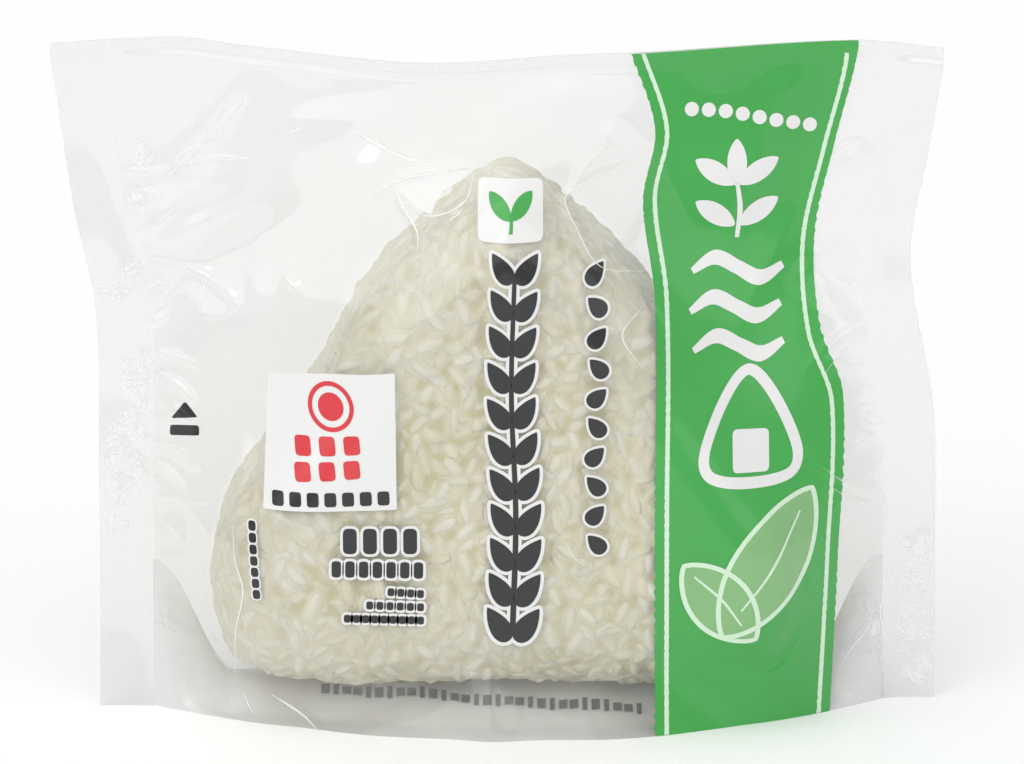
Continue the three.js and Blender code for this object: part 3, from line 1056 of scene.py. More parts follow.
GRAIN_KINDS = [(6.0, 2.7, 2.3, 0.3), (5.5, 2.8, 2.4, -0.25), (6.4, 2.6, 2.2, 0.15),
               (5.0, 2.9, 2.4, 0.35)]
grain_shelf = bpy.data.collections.new("grain_kinds")
for number, kind in enumerate(GRAIN_KINDS):
    one = grain_mesh(f"grain_kind_{number}", *kind)
    bpy.context.collection.objects.unlink(one)
    grain_shelf.objects.link(one)
print("kinds of grain", len(GRAIN_KINDS))

# %% Grain scatter tree
MOST_DENSE = 2e6
GRAIN_LEAN = (0.25, 0, 1)
TURN_LOW, TURN_HIGH = (-0.7, -0.26, -1.3), (0.7, 0.26, 1.3)
SCALE_LOW, SCALE_HIGH = (0.86, 0.88, 0.88), (1.12, 1.1, 1.05)
TURN_SEED, SCALE_SEED, TONE_SEED = 11, 12, 13


def new_tree(name, inputs):
    tree = bpy.data.node_groups.new(name, "GeometryNodeTree")
    tree.interface.new_socket("Geometry", in_out="INPUT", socket_type="NodeSocketGeometry")
    for label, kind, value in inputs:
        socket = tree.interface.new_socket(label, in_out="INPUT", socket_type=kind)
        if value is not None:
            socket.default_value = value
    tree.interface.new_socket("Geometry", in_out="OUTPUT", socket_type="NodeSocketGeometry")
    return tree, add_node(tree, "NodeGroupInput").outputs


def random_vector(tree, low, high, seed):
    inputs = {"Min": low, "Max": high, "Seed": seed}
    node = add_node(tree, "FunctionNodeRandomValue", inputs, data_type="FLOAT_VECTOR")
    return node.outputs["Value"]


def turned_by(tree, rotation, euler):
    turn = add_node(tree, "FunctionNodeEulerToRotation", {"Euler": euler})
    turned = add_node(tree, "FunctionNodeRotateRotation", {
        "Rotation": rotation, "Rotate By": turn.outputs["Rotation"]}, rotation_space="LOCAL")
    return turned.outputs["Rotation"]


def close_tree(tree, instances, material):
    real = add_node(tree, "GeometryNodeRealizeInstances", {"Geometry": instances})
    finish = add_node(tree, "GeometryNodeSetMaterial", {
        "Geometry": real.outputs["Geometry"], "Material": material})
    add_node(tree, "NodeGroupOutput", {"Geometry": finish.outputs["Geometry"]})
    return tree


def grain_scatter_tree():
    tree, given = new_tree("lay_grains", [
        ("Least distance", "NodeSocketFloat", 0.002),
        ("Seed", "NodeSocketInt", 3),
        ("Sink", "NodeSocketFloat", -0.0001),
        ("Grains", "NodeSocketCollection", None),
        ("Rice", "NodeSocketMaterial", None),
    ])
    spread = add_node(tree, "GeometryNodeDistributePointsOnFaces", {
        "Mesh": given["Geometry"], "Distance Min": given["Least distance"],
        "Density Max": MOST_DENSE, "Seed": given["Seed"]}, distribute_method="POISSON").outputs
    flat = add_node(tree, "FunctionNodeAlignRotationToVector", {
        "Vector": spread["Normal"]}, axis="Z")
    upright = add_node(tree, "FunctionNodeAlignRotationToVector", {
        "Vector": GRAIN_LEAN, "Rotation": flat.outputs["Rotation"]}, axis="X", pivot_axis="Z")
    turn = random_vector(tree, TURN_LOW, TURN_HIGH, TURN_SEED)
    sink = add_node(tree, "ShaderNodeVectorMath", {
        0: spread["Normal"], "Scale": given["Sink"]}, operation="SCALE")
    sunk = add_node(tree, "GeometryNodeSetPosition", {
        "Geometry": spread["Points"], "Offset": sink.outputs["Vector"]})
    kinds = add_node(tree, "GeometryNodeCollectionInfo", {
        "Collection": given["Grains"], "Separate Children": True})
    laid = add_node(tree, "GeometryNodeInstanceOnPoints", {
        "Points": sunk.outputs["Geometry"], "Instance": kinds.outputs["Instances"],
        "Pick Instance": True, "Rotation": turned_by(tree, upright.outputs["Rotation"], turn),
        "Scale": random_vector(tree, SCALE_LOW, SCALE_HIGH, SCALE_SEED)})
    tone = add_node(tree, "FunctionNodeRandomValue", {"Seed": TONE_SEED}, data_type="FLOAT")
    store = add_node(tree, "GeometryNodeStoreNamedAttribute", {
        "Geometry": laid.outputs["Instances"], "Name": "tone", "Value": tone.outputs[1]},
        domain="INSTANCE", data_type="FLOAT")
    return close_tree(tree, store.outputs["Geometry"], given["Rice"])


def set_input(modifier, label, value):
    for item in modifier.node_group.interface.items_tree:
        if item.item_type == "SOCKET" and item.in_out == "INPUT" and item.name == label:
            modifier[item.identifier] = value


def evaluated_mesh(base):
    bpy.context.view_layer.update()
    seen = base.evaluated_get(bpy.context.evaluated_depsgraph_get())
    return bpy.data.meshes.new_from_object(seen)


def made_by_nodes(name, base, tree, values):
    modifier = base.modifiers.new(name, "NODES")
    modifier.node_group = tree
    for label, value in values.items():
        set_input(modifier, label, value)
    mesh = evaluated_mesh(base)
    base.modifiers.remove(modifier)
    mesh.name = name
    return new_object(name, mesh)


GRAIN_SPACING = 2.3
GRAIN_SINK = 0.42
rice_grains = made_by_nodes("rice_grains", core, grain_scatter_tree(), {
    "Least distance": GRAIN_SPACING * MM,
    "Seed": 5,
    "Sink": -GRAIN_SINK * MM,
    "Grains": grain_shelf,
    "Rice": GRAIN_RICE,
})
shade_smooth(rice_grains.data)
tell_size(rice_grains)

# %% [markdown]
# Cooked grains stick: soft starch fills the gaps between them. So the core and the grains are
# also fused into one skin, smoothed until it fills the gaps about half, and the grains stand
# out of it. Its tone is painted shade, deeper in the hollows. The film presses all of it flat
# where it lies.

# %% Rice between the grains
FUSE_CELL = 0.58
SOFTEN_ROUNDS = 3
HOLLOW_ROUNDS = 18
# Hollows between these depths in mm get painted shade, full at the deeper one.
HOLLOW_SHADE_DEPTH = 0.42
MASS_SINK = 0.02
HOLLOW_SHADE_START = -0.03
PRESS_ROOM = 0.1


def neighbour_mean(values, edges):
    count = len(values)
    both = np.concatenate([edges, edges[:, ::-1]])
    share = np.maximum(np.bincount(both[:, 0], minlength=count), 1)
    columns = [np.bincount(both[:, 0], values[both[:, 1], c], count) / share for c in range(3)]
    return np.stack(columns, axis=1)


def fused_mesh(pieces, cell):
    heap = bmesh.new()
    for piece in pieces:
        heap.from_mesh(piece.data)
    mesh = bpy.data.meshes.new("heap")
    heap.to_mesh(mesh)
    heap.free()
    pile = new_object("heap", mesh)
    fuse = pile.modifiers.new("fuse", "REMESH")
    fuse.mode = "VOXEL"
    fuse.voxel_size = cell * MM
    fused = evaluated_mesh(pile)
    bpy.data.objects.remove(pile)
    return fused


def places_of(mesh):
    return np.array([v.co for v in mesh.vertices]) / MM


def pressed_flat(at):
    room = ball_half_depth(ball_outline(OUTLINE_STEPS), at[:, 0], at[:, 2]) + FILM_CLEARANCE - PRESS_ROOM
    out = at[:, 1] - BALL_Y
    pressed = np.sign(out) * np.minimum(np.abs(out), room)
    flat = at.copy()
    flat[:, 1] = BALL_Y + np.where(room > 0, pressed, out)
    return flat


def rice_mass():
    mesh = fused_mesh([core, rice_grains], FUSE_CELL)
    at = places_of(mesh)
    normal = np.array([v.normal for v in mesh.vertices])
    edges = np.array([e.vertices for e in mesh.edges])
    broad = at
    for _ in range(HOLLOW_ROUNDS):
        broad = neighbour_mean(broad, edges)
    hollow = ((broad - at) * normal).sum(1)
    for _ in range(SOFTEN_ROUNDS):
        at = neighbour_mean(at, edges)
    place_all(mesh, pressed_flat(at - normal * MASS_SINK) * MM)
    shade_smooth(mesh)
    # Painted shade: the tone deepens with the depth of the hollow.
    note_values(mesh, "tone", smooth_step(HOLLOW_SHADE_START, HOLLOW_SHADE_DEPTH, hollow))
    mesh.materials.clear()
    mesh.materials.append(MASS_RICE)
    return new_object("rice_mass", mesh)


rice_between = rice_mass()
place_all(rice_grains.data, pressed_flat(places_of(rice_grains.data)) * MM)
bpy.data.objects.remove(core)
tell_size(rice_between)

# %% [markdown]
# ## Print on the film
#
# The print is a thin layer of ink on the front film. Every shape is first drawn flat, in x
# and z, finely split, and then laid on the film: each point moves in y to the film's surface
# and a little off it. The white grounds lie lowest, the marks on top of them a little higher.

# %% Laying a flat shape on the film
GROUND_LIFT, MARK_LIFT, TOP_LIFT = 0.05, 0.1, 0.15
LEAST_LIFT = 0.02
FINE = 0.45
DISC_STEPS, LEAF_STEPS = 40, 48


def film_y(x, z):
    up = np.clip(z / (top_edge(x) - TOP_SEAL), 0, 1)
    low = left_edge(up * BAG_HEIGHT) + SIDE_SEAL
    high = right_edge(up * BAG_HEIGHT) - SIDE_SEAL
    places, steps = (*SEAL_PLACES, 1.0), range(len(SEAL_PLACES) + 1)
    columns, rows = front["y"].shape
    i = np.interp((x - low) / SIDE_SEAL + 1, places, steps)
    i = i + np.clip((x - low) / (high - low), 0, 1) * (columns - 1)
    i = i + steps[-1] - np.interp((high - x) / SIDE_SEAL + 1, places, steps)
    j = up * (rows - 1)
    y = front_sheet["y"]
    i0, j0 = np.minimum(i.astype(int), len(y) - 2), np.minimum(j.astype(int), rows - 2)
    s, t = i - i0, j - j0
    low_row = mix(y[i0, j0], y[i0 + 1, j0], s)
    high_row = mix(y[i0, j0 + 1], y[i0 + 1, j0 + 1], s)
    return mix(low_row, high_row, t)


def laid_on_film(flat, lift):
    flat = np.asarray(flat, float)
    return np.column_stack([flat[:, 0], film_y(flat[:, 0], flat[:, 1]) - lift, flat[:, 1]])


# %% Flat shapes
def resampled(outline):
    ring = np.vstack([outline, outline[:1]])
    along = np.concatenate([[0], np.cumsum(np.linalg.norm(np.diff(ring, axis=0), axis=1))])
    at = np.linspace(0, along[-1], max(12, int(along[-1] / FINE)), endpoint=False)
    return np.stack([np.interp(at, along, ring[:, c]) for c in (0, 1)], axis=1)


def anticlockwise(ring):
    after = np.roll(ring, -1, 0)
    area = (ring[:, 0] * after[:, 1] - after[:, 0] * ring[:, 1]).sum()
    return ring if area > 0 else ring[::-1]


def star_patch(outline):
    ring = anticlockwise(resampled(np.array(outline, float)))
    centre = ring.mean(0)
    rings = max(2, math.ceil(np.linalg.norm(ring - centre, axis=1).max() / FINE))
    count = len(ring)
    points = np.vstack([centre[None]] + [mix(centre, ring, k / rings) for k in range(1, rings + 1)])
    faces = [(0, 1 + s, 1 + (s + 1) % count) for s in range(count)]
    for k in range(rings - 1):
        a, b = 1 + k * count, 1 + (k + 1) * count
        faces += [(a + s, b + s, b + (s + 1) % count, a + (s + 1) % count) for s in range(count)]
    return points, faces


def ribbon(points, widths, lanes=2):
    steps = max(8, int(np.linalg.norm(np.diff(np.array(points, float), axis=0), axis=1).sum() / FINE))
    path = smooth_path(points, steps)
    ahead = np.gradient(path, axis=0)
    side = np.stack([ahead[:, 1], -ahead[:, 0]], axis=1) / np.linalg.norm(ahead, axis=1)[:, None]
    width = np.interp(np.linspace(0, 1, steps), np.linspace(0, 1, len(widths)), widths)[:, None]
    lines = [path + side * width * (k / lanes - 0.5) for k in range(lanes + 1)]
    flat = np.stack(lines, axis=1).reshape(-1, 2)
    index = np.arange(steps * (lanes + 1)).reshape(steps, lanes + 1)
    faces = np.stack([index[:-1, :-1], index[:-1, 1:], index[1:, 1:], index[1:, :-1]], axis=-1)
    return flat, faces.reshape(-1, 4).tolist()


def grown(outline, by):
    ring = anticlockwise(np.array(outline, float))
    ahead = np.roll(ring, -1, 0) - np.roll(ring, 1, 0)
    out = np.stack([ahead[:, 1], -ahead[:, 0]], axis=1) / np.linalg.norm(ahead, axis=1)[:, None]
    return ring + out * by


def placed(outline, place, turn=0.0):
    cos, sin = math.cos(turn), math.sin(turn)
    x, z = np.array(outline, float).T
    return np.stack([place[0] + cos * x + sin * z, place[1] - sin * x + cos * z], axis=1)


def disc(radius):
    turn = np.linspace(0, 2 * math.pi, DISC_STEPS, endpoint=False)
    return np.stack([radius * np.cos(turn), radius * np.sin(turn)], axis=1)


def drop(length, width):
    turn = np.linspace(0, 2 * math.pi, LEAF_STEPS, endpoint=False)
    swell = np.sin(turn) * np.sin(turn / 2) ** 0.9
    return np.stack([width / 2 * swell / 0.79, length / 2 * np.cos(turn)], axis=1)


def leaf(length, width):
    turn = np.linspace(0, 2 * math.pi, LEAF_STEPS, endpoint=False)
    swell = np.sin(turn) * np.abs(np.sin(turn)) ** 0.6
    return np.stack([width / 2 * swell, length / 2 * np.cos(turn)], axis=1)


def rounded(corners, radius):
    ring = []
    corners = np.array(corners, float)
    for k, here in enumerate(corners):
        before, after = corners[k - 1], corners[(k + 1) % len(corners)]
        start = here + (before - here) * radius / np.linalg.norm(before - here)
        stop = here + (after - here) * radius / np.linalg.norm(after - here)
        for t in np.linspace(0, 1, 6):
            ring.append(mix(mix(start, here, t), mix(here, stop, t), t))
    return np.array(ring)


def rounded_patch(corners, radius):
    return star_patch(rounded(corners, radius))


# %% [markdown]
# ## Painted highlights on the film
#
# Along each sharp fold lies a hair-thin painted highlight. Each line is a slim raised strip of
# white film, white along its crest and clear at its sides. The glints are fainter painted
# highlight strips, and one small facet beside the apex is painted white all over as the
# reflection of a lamp.

# %% Painted highlight lines
CREASE_LIFT, CREASE_RISE = 0.08, 0.1
CREASE_HIGHLIGHT_SHARE, GLINT_HIGHLIGHT_SHARE, FACET_HIGHLIGHT_SHARE = 1.0, 0.7, 0.85
CREST_LANES = np.array([0, 0.7, 1, 0.7, 0])
CREASE_TAPER = (0.2, 1, 0.8, 0.15)


# A painted highlight: a strip that is white along its crest and clear at its sides.
def highlight_line(points, width, haze_and_highlight=CREASE_HIGHLIGHT_SHARE):
    lanes = len(CREST_LANES)
    flat, faces = ribbon(points, [part * width for part in CREASE_TAPER], lanes - 1)
    flat[:, 1] = np.maximum(flat[:, 1], 0)
    crest = np.tile(CREST_LANES, len(flat) // lanes)
    return laid_on_film(flat, CREASE_LIFT + CREASE_RISE * crest), faces, haze_and_highlight * crest


def facet(outline):
    flat, faces = star_patch(outline)
    return laid_on_film(flat, CREASE_LIFT), faces, np.full(len(flat), FACET_HIGHLIGHT_SHARE)


# Outline of the facet beside the apex, painted white as the reflection of a lamp.
FACET_HIGHLIGHT_OUTLINE = [(-16.4, 87.0), (-12, 88.5), (-8, 89.0), (-4.6, 89.4), (-5.7, 87.9), (-8.6, 86.3),
                (-9.7, 84.6), (-10.4, 82.9), (-12.7, 83.7), (-14.7, 85.3)]
shapes = [highlight_line(*line) for line in CREASE_HIGHLIGHTS + SEAL_HIGHLIGHTS]
shapes += [highlight_line(*line, GLINT_HIGHLIGHT_SHARE) for line in GLINTS]
shapes.append(facet(FACET_HIGHLIGHT_OUTLINE))
hazes = [haze for _, _, haze in shapes]
film_creases = hazy_piece("film_creases", [shape[:2] for shape in shapes], hazes, MIST_AND_HIGHLIGHT_FILM)
print("crease lines", len(CREASE_HIGHLIGHTS), "and in the seals", len(SEAL_HIGHLIGHTS))

# %% [markdown]
# ## Inks
#
# Ink on film is even and glossy, with the film's own ripple in its reflections. Under the
# gloss it is faintly mottled, as a printed solid is.

# %% Inks
INK_MOTTLE = 26.0
INK_FINISH = {"Roughness": 0.45, "Specular IOR Level": 0.15, "Coat Weight": 0.8,
              "Coat Roughness": 0.12}


def ink(name, pale, deep):
    material, tree = new_material(name)
    normal = add_ripple(tree)
    colour = two_tones(tree, noise_of(tree, INK_MOTTLE, 6.0), pale, deep)
    set_inputs(tree, tree.nodes["Principled BSDF"], {
        **INK_FINISH, "Base Color": colour, "Normal": normal, "Coat Normal": normal})
    return material


GREEN_INK = ink("green_ink", (0.075, 0.455, 0.095), (0.045, 0.34, 0.065))
PALE_INK = ink("pale_green_ink", (0.70, 0.88, 0.69), (0.62, 0.82, 0.61))
LEAF_INK = ink("leaf_green_ink", (0.27, 0.52, 0.23), (0.22, 0.46, 0.19))
WHITE_INK = ink("white_ink", (0.84, 0.84, 0.83), (0.79, 0.79, 0.78))
BLACK_INK = ink("black_ink", (0.02, 0.02, 0.022), (0.035, 0.034, 0.036))
RED_INK = ink("red_ink", (0.74, 0.06, 0.07), (0.66, 0.045, 0.055))

PRINTS = {}


def put(kind, shape, lift):
    flat, faces = shape
    PRINTS.setdefault(kind, []).append((laid_on_film(flat, lift), faces))


# %% [markdown]
# ## The green stripe
#
# A broad stripe runs from the top edge to the front crease. Its edges are brushed, so they are
# a little rough, and a pale brushed line runs inside each of them.

# %% Stripe
BAND_LEFT = [(-0.4, 25.3), (38.6, 25.1), (69.3, 25.1), (84.1, 23.3), (94.4, 25.3), (107.0, 21.3)]
BAND_RIGHT = [(0.0, 54.1), (24.7, 55.2), (50.1, 56.0), (61.5, 52.1), (76.0, 51.2), (90.6, 54.3),
              (105.2, 57.8), (110.0, 57.2)]
BAND_COLUMNS, BAND_ROWS, BAND_HEIGHT = 76, 250, 106.5
LINE_INSET, LINE_WIDTH, LINE_ROWS = 1.9, 0.72, 261
band_left, band_right = curve_through(BAND_LEFT), curve_through(BAND_RIGHT)


def brushed(z, seed, amount):
    rough = np.sin(z * 5.1 + seed) * np.sin(z * 1.7 + 2 * seed) + 0.6 * np.sin(z * 11.3 + 3 * seed)
    return amount * rough * (0.6 + 0.4 * np.sin(z * 0.31 + seed))


def stripe():
    v = np.linspace(0, 1, BAND_ROWS + 1)[None, :]
    u = np.linspace(0, 1, BAND_COLUMNS + 1)[:, None]
    z = v * BAND_HEIGHT
    x = mix(band_left(z) + brushed(z, 1, 0.16), band_right(z) + brushed(z, 2, 0.13), u)
    z = v * top_edge(x)
    flat = np.stack([x, z], axis=-1).reshape(-1, 2)
    return flat, grid_quads(BAND_COLUMNS + 1, BAND_ROWS + 1, True)


def brushed_line(edge, inset, seed):
    z = np.linspace(0.1, BAND_HEIGHT - 0.1, LINE_ROWS)
    x = edge(z) + inset
    width = LINE_WIDTH + brushed(z, seed, 0.1)
    left, right = x - width / 2 - brushed(z, seed + 4, 0.06), x + width / 2
    flat = np.stack([np.stack([lane, z], -1) for lane in (left, x, right)])
    return flat.reshape(-1, 2), grid_quads(3, len(z), True)


put("green_stripe", stripe(), GROUND_LIFT)
put("stripe_lines", brushed_line(band_left, LINE_INSET, 5), MARK_LIFT)
put("stripe_lines", brushed_line(band_right, -LINE_INSET, 9), MARK_LIFT)

# %% [markdown]
# White motifs stand in the stripe: a row of dots, a sprig, three wavy strokes and a rounded
# triangle. Under them are two leaves in a lighter green with a pale outline.

# %% Stripe motifs
def sprig(foot, height, leaves, length, width):
    stem = [foot, (foot[0] + 0.5, foot[1] + height * 0.5), (foot[0], foot[1] + height)]
    parts = [ribbon(stem, (0.7, 0.9, 0.6))]
    top = (foot[0], foot[1] + height + length * 0.36)
    parts.append(star_patch(placed(leaf(length, width), top)))
    for k in range(leaves):
        z = foot[1] + height * (0.2 + 0.72 * k / max(1, leaves - 1))
        for way in (-1, 1):
            turn = way * math.radians(58)
            place = (foot[0] + way * length * 0.46, z + length * 0.28)
            parts.append(star_patch(placed(leaf(length, width), place, turn)))
    return parts


def closed_ribbon(outline, width):
    ring = resampled(np.array(outline, float))
    inner, outer = grown(ring, -width / 2), grown(ring, width / 2)
    count = len(inner)
    flat = np.vstack([inner, (inner + outer) / 2, outer])
    faces = []
    for lane in (0, count):
        faces += [(lane + s, lane + count + s, lane + count + (s + 1) % count, lane + (s + 1) % count)
                  for s in range(count)]
    return flat, faces


for part in sprig((38.5, 77.2), 9.0, 2, 7.6, 3.2):
    put("white_print", part, MARK_LIFT)
for x, z in ((38.6, 72.6), (38.2, 66.7), (38.7, 60.8)):
    wave = [(x - 7.4, z + 0.1), (x - 3.6, z + 1.8), (x, z), (x + 3.6, z - 1.8), (x + 7.4, z - 0.1)]
    put("white_print", ribbon(wave, (1.0, 2.3, 2.1, 2.5, 1.2), 4), MARK_LIFT)
ball_mark = smooth_ring([(40.3, 56.9), (48.4, 43.4), (47.2, 40.4), (34.0, 41.8), (32.9, 45.0)], 12)
put("white_print", closed_ribbon(ball_mark, 1.7), MARK_LIFT)
BALL_SHEET = [(37.6, 41.9), (43.6, 41.2), (43.6, 47.6), (37.6, 48.3)]
put("white_print", rounded_patch(BALL_SHEET, 0.8), MARK_LIFT)

LEAVES = ((leaf(26, 12.0), (43.4, 26.6), 0.6), (leaf(17, 9.5), (35.6, 21.5), -0.75))
for number, (shape, place, turn) in enumerate(LEAVES):
    lift = number * LEAST_LIFT
    put("leaf_print", star_patch(placed(shape, place, turn)), MARK_LIFT + lift)
    put("stripe_lines", closed_ribbon(placed(shape, place, turn), 0.8), TOP_LIFT + lift)
    tall = np.ptp(shape[:, 1])
    vein = placed([(0, -0.3 * tall), (0.6, 0), (0, 0.36 * tall)], place, turn)
    put("stripe_lines", ribbon(vein, (0.3, 0.5, 0.3)), TOP_LIFT + lift)
print("stripe marks", len(PRINTS["white_print"]), "and lines", len(PRINTS["stripe_lines"]))

# %% [markdown]
# ## Rows of marks
#
# Much of the print is a mark repeated along a line. One Geometry Nodes tree sets a chosen mark
# along a path, with the count, the sizes at both ends and the swing to either side as inputs.
# Its flat result is then laid on the film like any other shape.

# %% Row tree
def row_tree():
    tree, given = new_tree("row_of_marks", [
        ("Count", "NodeSocketInt", 8),
        ("Mark", "NodeSocketObject", None),
        ("First size", "NodeSocketFloat", 1.0),
        ("Last size", "NodeSocketFloat", 1.0),
        ("Swing", "NodeSocketFloat", 0.0),
        ("Ink", "NodeSocketMaterial", None),
    ])
    line = add_node(tree, "GeometryNodeMeshToCurve", {"Mesh": given["Geometry"]})
    spots = add_node(tree, "GeometryNodeCurveToPoints", {
        "Curve": line.outputs["Curve"], "Count": given["Count"]}, mode="COUNT").outputs
    along = add_node(tree, "FunctionNodeAlignRotationToVector", {
        "Vector": spots["Tangent"]}, axis="Z", pivot_axis="Y")
    index = add_node(tree, "GeometryNodeInputIndex").outputs["Index"]
    odd = add_math(tree, "MODULO", index, 2)
    way = add_math(tree, "SUBTRACT", add_math(tree, "MULTIPLY", odd, 2.0), 1.0)
    swing = add_math(tree, "MULTIPLY", given["Swing"], way)
    tip = add_node(tree, "ShaderNodeCombineXYZ", {"Y": swing})
    turned = turned_by(tree, along.outputs["Rotation"], tip.outputs["Vector"])
    share = add_math(tree, "DIVIDE", index, add_math(tree, "SUBTRACT", given["Count"], 1.0))
    growth = add_math(tree, "SUBTRACT", given["Last size"], given["First size"])
    more = add_math(tree, "MULTIPLY", growth, share)
    mark = add_node(tree, "GeometryNodeObjectInfo", {"Object": given["Mark"]})
    laid = add_node(tree, "GeometryNodeInstanceOnPoints", {
        "Points": spots["Points"], "Instance": mark.outputs["Geometry"], "Rotation": turned,
        "Scale": add_math(tree, "ADD", given["First size"], more)})
    return close_tree(tree, laid.outputs["Instances"], given["Ink"])


ROW_TREE = row_tree()
ROW_STEPS = 60


def flat_row(shapes, path, count, sizes=(1.0, 1.0), swing=0.0, material=None):
    flat, faces = joined(shapes)
    upright = np.column_stack([flat[:, 0], 0 * flat[:, 0], flat[:, 1]])
    mark = new_piece("mark", upright, faces, material)
    line = smooth_path(path, ROW_STEPS)
    edges = [(k, k + 1) for k in range(len(line) - 1)]
    mesh = bpy.data.meshes.new("path")
    mesh.from_pydata([(x * MM, 0, z * MM) for x, z in line], edges, [])
    base = new_object("path", mesh)
    row = made_by_nodes("row", base, ROW_TREE, {
        "Count": count, "Mark": mark, "First size": sizes[0], "Last size": sizes[1],
        "Swing": swing, "Ink": material,
    })
    at = places_of(row.data)
    made = [tuple(p.vertices) for p in row.data.polygons]
    for spent in (row, base, mark):
        bpy.data.objects.remove(spent)
    return at[:, [0, 2]], made


# %% [markdown]
# The black print of the middle is an ear of rice: pairs of grains up a stem, edged in white.
# Beside it runs a row of drops that lean left and right in turn.

# %% Ear and drops
EDGE = 0.55
EAR_LINE = [(2.5, 16.8), (3.0, 36), (2.3, 56), (2.8, 75.0)]
EAR_COUNT = 11
DROP_LINE = [(15.8, 31.4), (15.6, 45), (16.0, 60), (15.6, 74.6)]
DROP_COUNT = 10


def grain_pair(grow):
    grain = drop(6.3, 3.3)
    leant = [placed(grain, (way * 2.3, 1.2), way * math.radians(33)) for way in (-1, 1)]
    return [star_patch(grown(outline, grow)) for outline in leant]


def single_drop(grow):
    return [star_patch(grown(drop(3.9, 2.7), grow * 0.7))]


def row_with_edge(shape_of, grow, *row, **more):
    put("white_print", flat_row(shape_of(grow), *row, material=WHITE_INK, **more), GROUND_LIFT)
    put("black_print", flat_row(shape_of(0.0), *row, material=BLACK_INK, **more), MARK_LIFT)


row_with_edge(grain_pair, EDGE, EAR_LINE, EAR_COUNT, sizes=(1.04, 0.9))
put("white_print", ribbon(EAR_LINE, (2.0, 1.8), 3), GROUND_LIFT - LEAST_LIFT)
put("black_print", ribbon(EAR_LINE, (0.95, 0.7), 2), MARK_LIFT - LEAST_LIFT)
row_with_edge(single_drop, EDGE, DROP_LINE, DROP_COUNT, swing=0.75)
print("ear of", EAR_COUNT, "pairs and row of", DROP_COUNT, "drops")

# %% Small print
def block(width, height, radius):
    half, tall = width / 2, height / 2
    outline = rounded([(-half, -tall), (half, -tall), (half, tall), (-half, tall)], radius)
    return lambda grow: [star_patch(grown(outline, grow) if grow else outline)]


ARC = [(31.2, 97.5), (36.6, 97.1), (43.0, 96.0), (50.2, 94.8)]
put("white_print", flat_row([star_patch(disc(1.15))], ARC, 8, material=WHITE_INK), MARK_LIFT)
BLOCK_ROWS = (
    ((1.2, 1.5, 0.35), 0.25, [(-38.4, 22.8), (-38.8, 28.3), (-39.1, 33.6)], 7),
    ((4.2, 2.2, 0.8), 0.45, [(-23.4, 31.8), (-13.8, 31.8)], 4),
    ((2.7, 1.5, 0.5), 0.45, [(-25.6, 27.2), (-12.5, 27.0)], 7),
    ((1.3, 1.1, 0.3), 0.4, [(-16.9, 23.4), (-12.2, 23.1)], 4),
    ((1.3, 1.1, 0.3), 0.4, [(-20.3, 21.2), (-12.2, 20.9)], 6),
    ((1.3, 1.1, 0.3), 0.4, [(-23.9, 19.0), (-12.2, 18.7)], 9),
)
for size, edge, line, count in BLOCK_ROWS:
    row_with_edge(block(*size), edge, line, count)
for corners in ([(-52.8, 47.4), (-48.3, 48.1), (-50.4, 50.4)],
                [(-53.0, 44.6), (-48.0, 45.3), (-48.1, 46.9), (-52.9, 46.3)]):
    put("black_print", rounded_patch(corners, 0.3), MARK_LIFT)
print("rows of small blocks", len(BLOCK_ROWS))

# %% [markdown]
# A small white plate above the ear carries a green sprout. The white label at the left has a
# red ring and disc, two rows of red blocks and a row of black ones.

# %% Plate and label
PLATE = [(-3.0, 80.1), (7.3, 80.0), (7.3, 88.6), (-3.0, 88.6)]
put("white_print", rounded_patch(PLATE, 1.1), GROUND_LIFT)
for x, turn in ((0.5, -0.75), (3.9, 0.75)):
    put("sprout_print", star_patch(placed(leaf(5.0, 2.4), (x, 85.1), turn)), MARK_LIFT)
put("sprout_print", ribbon([(2.2, 81.4), (2.3, 82.8), (2.2, 84.2)], (0.6, 0.5)), MARK_LIFT)
LABEL = [(-37.3, 36.4), (-15.9, 37.0), (-16.1, 59.3), (-36.7, 56.4)]
put("white_print", rounded_patch(LABEL, 0.25), GROUND_LIFT)
put("red_print", star_patch(placed(disc(2.1), (-26.4, 53.0))), MARK_LIFT)
put("red_print", closed_ribbon(placed(disc(3.4), (-26.4, 53.0)), 0.7), MARK_LIFT)
for start, stop in (((-30.9, 46.6), (-23.0, 47.4)), ((-30.9, 42.7), (-23.0, 43.5))):
    red_row = flat_row(block(3.0, 2.6, 0.6)(0), [start, stop], 3, material=RED_INK)
    put("red_print", red_row, MARK_LIFT)
LABEL_ROW = [(-34.9, 38.3), (-18.0, 38.9)]
black_row = flat_row(block(2.3, 1.9, 0.4)(0), LABEL_ROW, 7, material=BLACK_INK)
put("black_print", black_row, MARK_LIFT)
print("shapes of each print", {kind: len(shapes) for kind, shapes in PRINTS.items()})

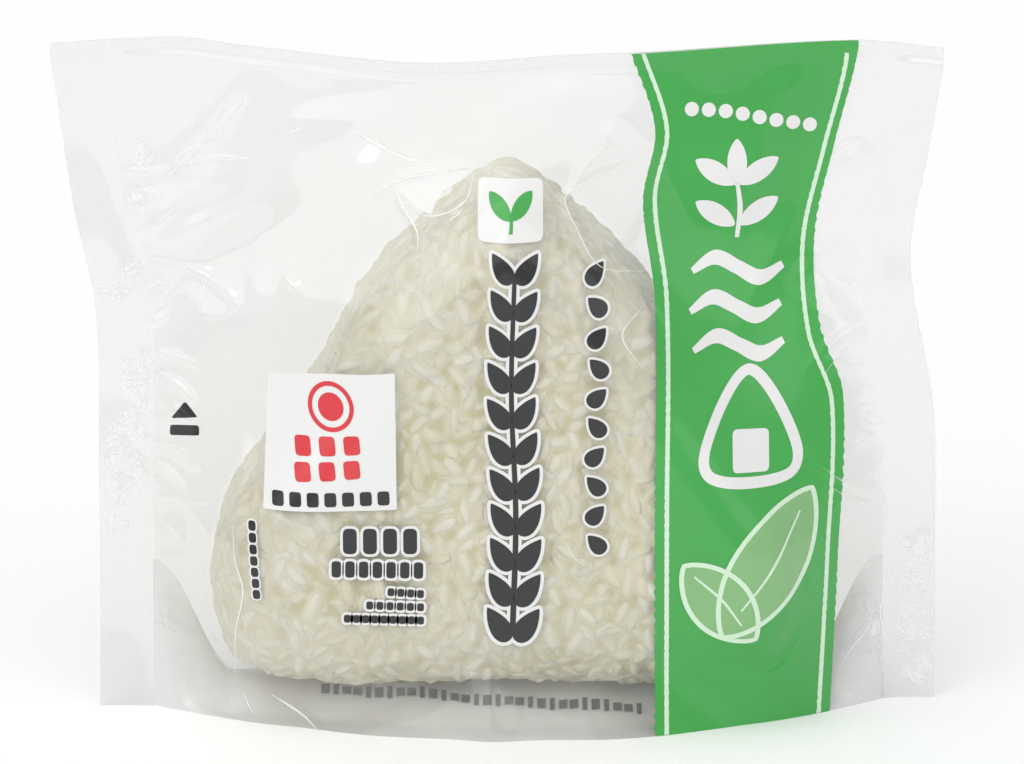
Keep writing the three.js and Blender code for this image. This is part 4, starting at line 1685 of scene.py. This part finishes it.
# %% [markdown]
# A last row of small dark bars is printed on the base panel, seen through the front film. Its
# bars are laid on the panel: x across, and the share of the way from the front crease to the
# back one.

# %% Print on the base panel
BASE_ROW = [(-28.0, 0.31), (-16.0, 0.30), (-6.0, 0.29), (10.0, 0.26), (23.0, 0.225)]
BASE_BARS = 30
BASE_SIZES = ((0.68, 0.024), (0.4, 0.028), (0.62, 0.03), (0.3, 0.02), (0.7, 0.019))
BASE_LIFT = 0.25


def on_panel(x, share):
    columns, steps = panel["x"].shape
    i = np.interp(x, panel["x"][:, 0], np.arange(columns))
    j = np.clip(share, 0, 1) * (steps - 1)
    i0, j0 = np.minimum(i.astype(int), columns - 2), np.minimum(j.astype(int), steps - 2)
    s, t = i - i0, j - j0
    at = []
    for grid in (panel["y"], panel["z"]):
        near = mix(grid[i0, j0], grid[i0 + 1, j0], s)
        far = mix(grid[i0, j0 + 1], grid[i0 + 1, j0 + 1], s)
        at.append(mix(near, far, t))
    return np.column_stack([x, at[0], at[1] + BASE_LIFT])


def base_bars():
    shapes = []
    for k, (x, share) in enumerate(smooth_path(BASE_ROW, BASE_BARS)):
        wide, tall = BASE_SIZES[(k * k) % len(BASE_SIZES)]
        flat = np.array([(x + a * wide, share + b * tall) for b in (-1, 0, 1) for a in (-1, 1)])
        shapes.append((on_panel(flat[:, 0], flat[:, 1]), [(0, 1, 3, 2), (2, 3, 5, 4)]))
    return shapes


PRINTS["base_print"] = base_bars()

# %% Print pieces
INKS = {
    "green_stripe": GREEN_INK, "stripe_lines": PALE_INK, "leaf_print": LEAF_INK,
    "sprout_print": GREEN_INK, "white_print": WHITE_INK, "black_print": BLACK_INK,
    "red_print": RED_INK, "base_print": BLACK_INK,
}
print_pieces = {}
for kind, material in INKS.items():
    print_pieces[kind] = new_piece(kind, *joined(PRINTS[kind]), material)
    tell_size(print_pieces[kind])

# %% Hand over
film_pieces = (film_front, film_back, film_base, film_mist, film_creases)
for piece in (*film_pieces, rice_between, rice_grains, *print_pieces.values()):
    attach(piece, "root")
    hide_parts("film_bag")
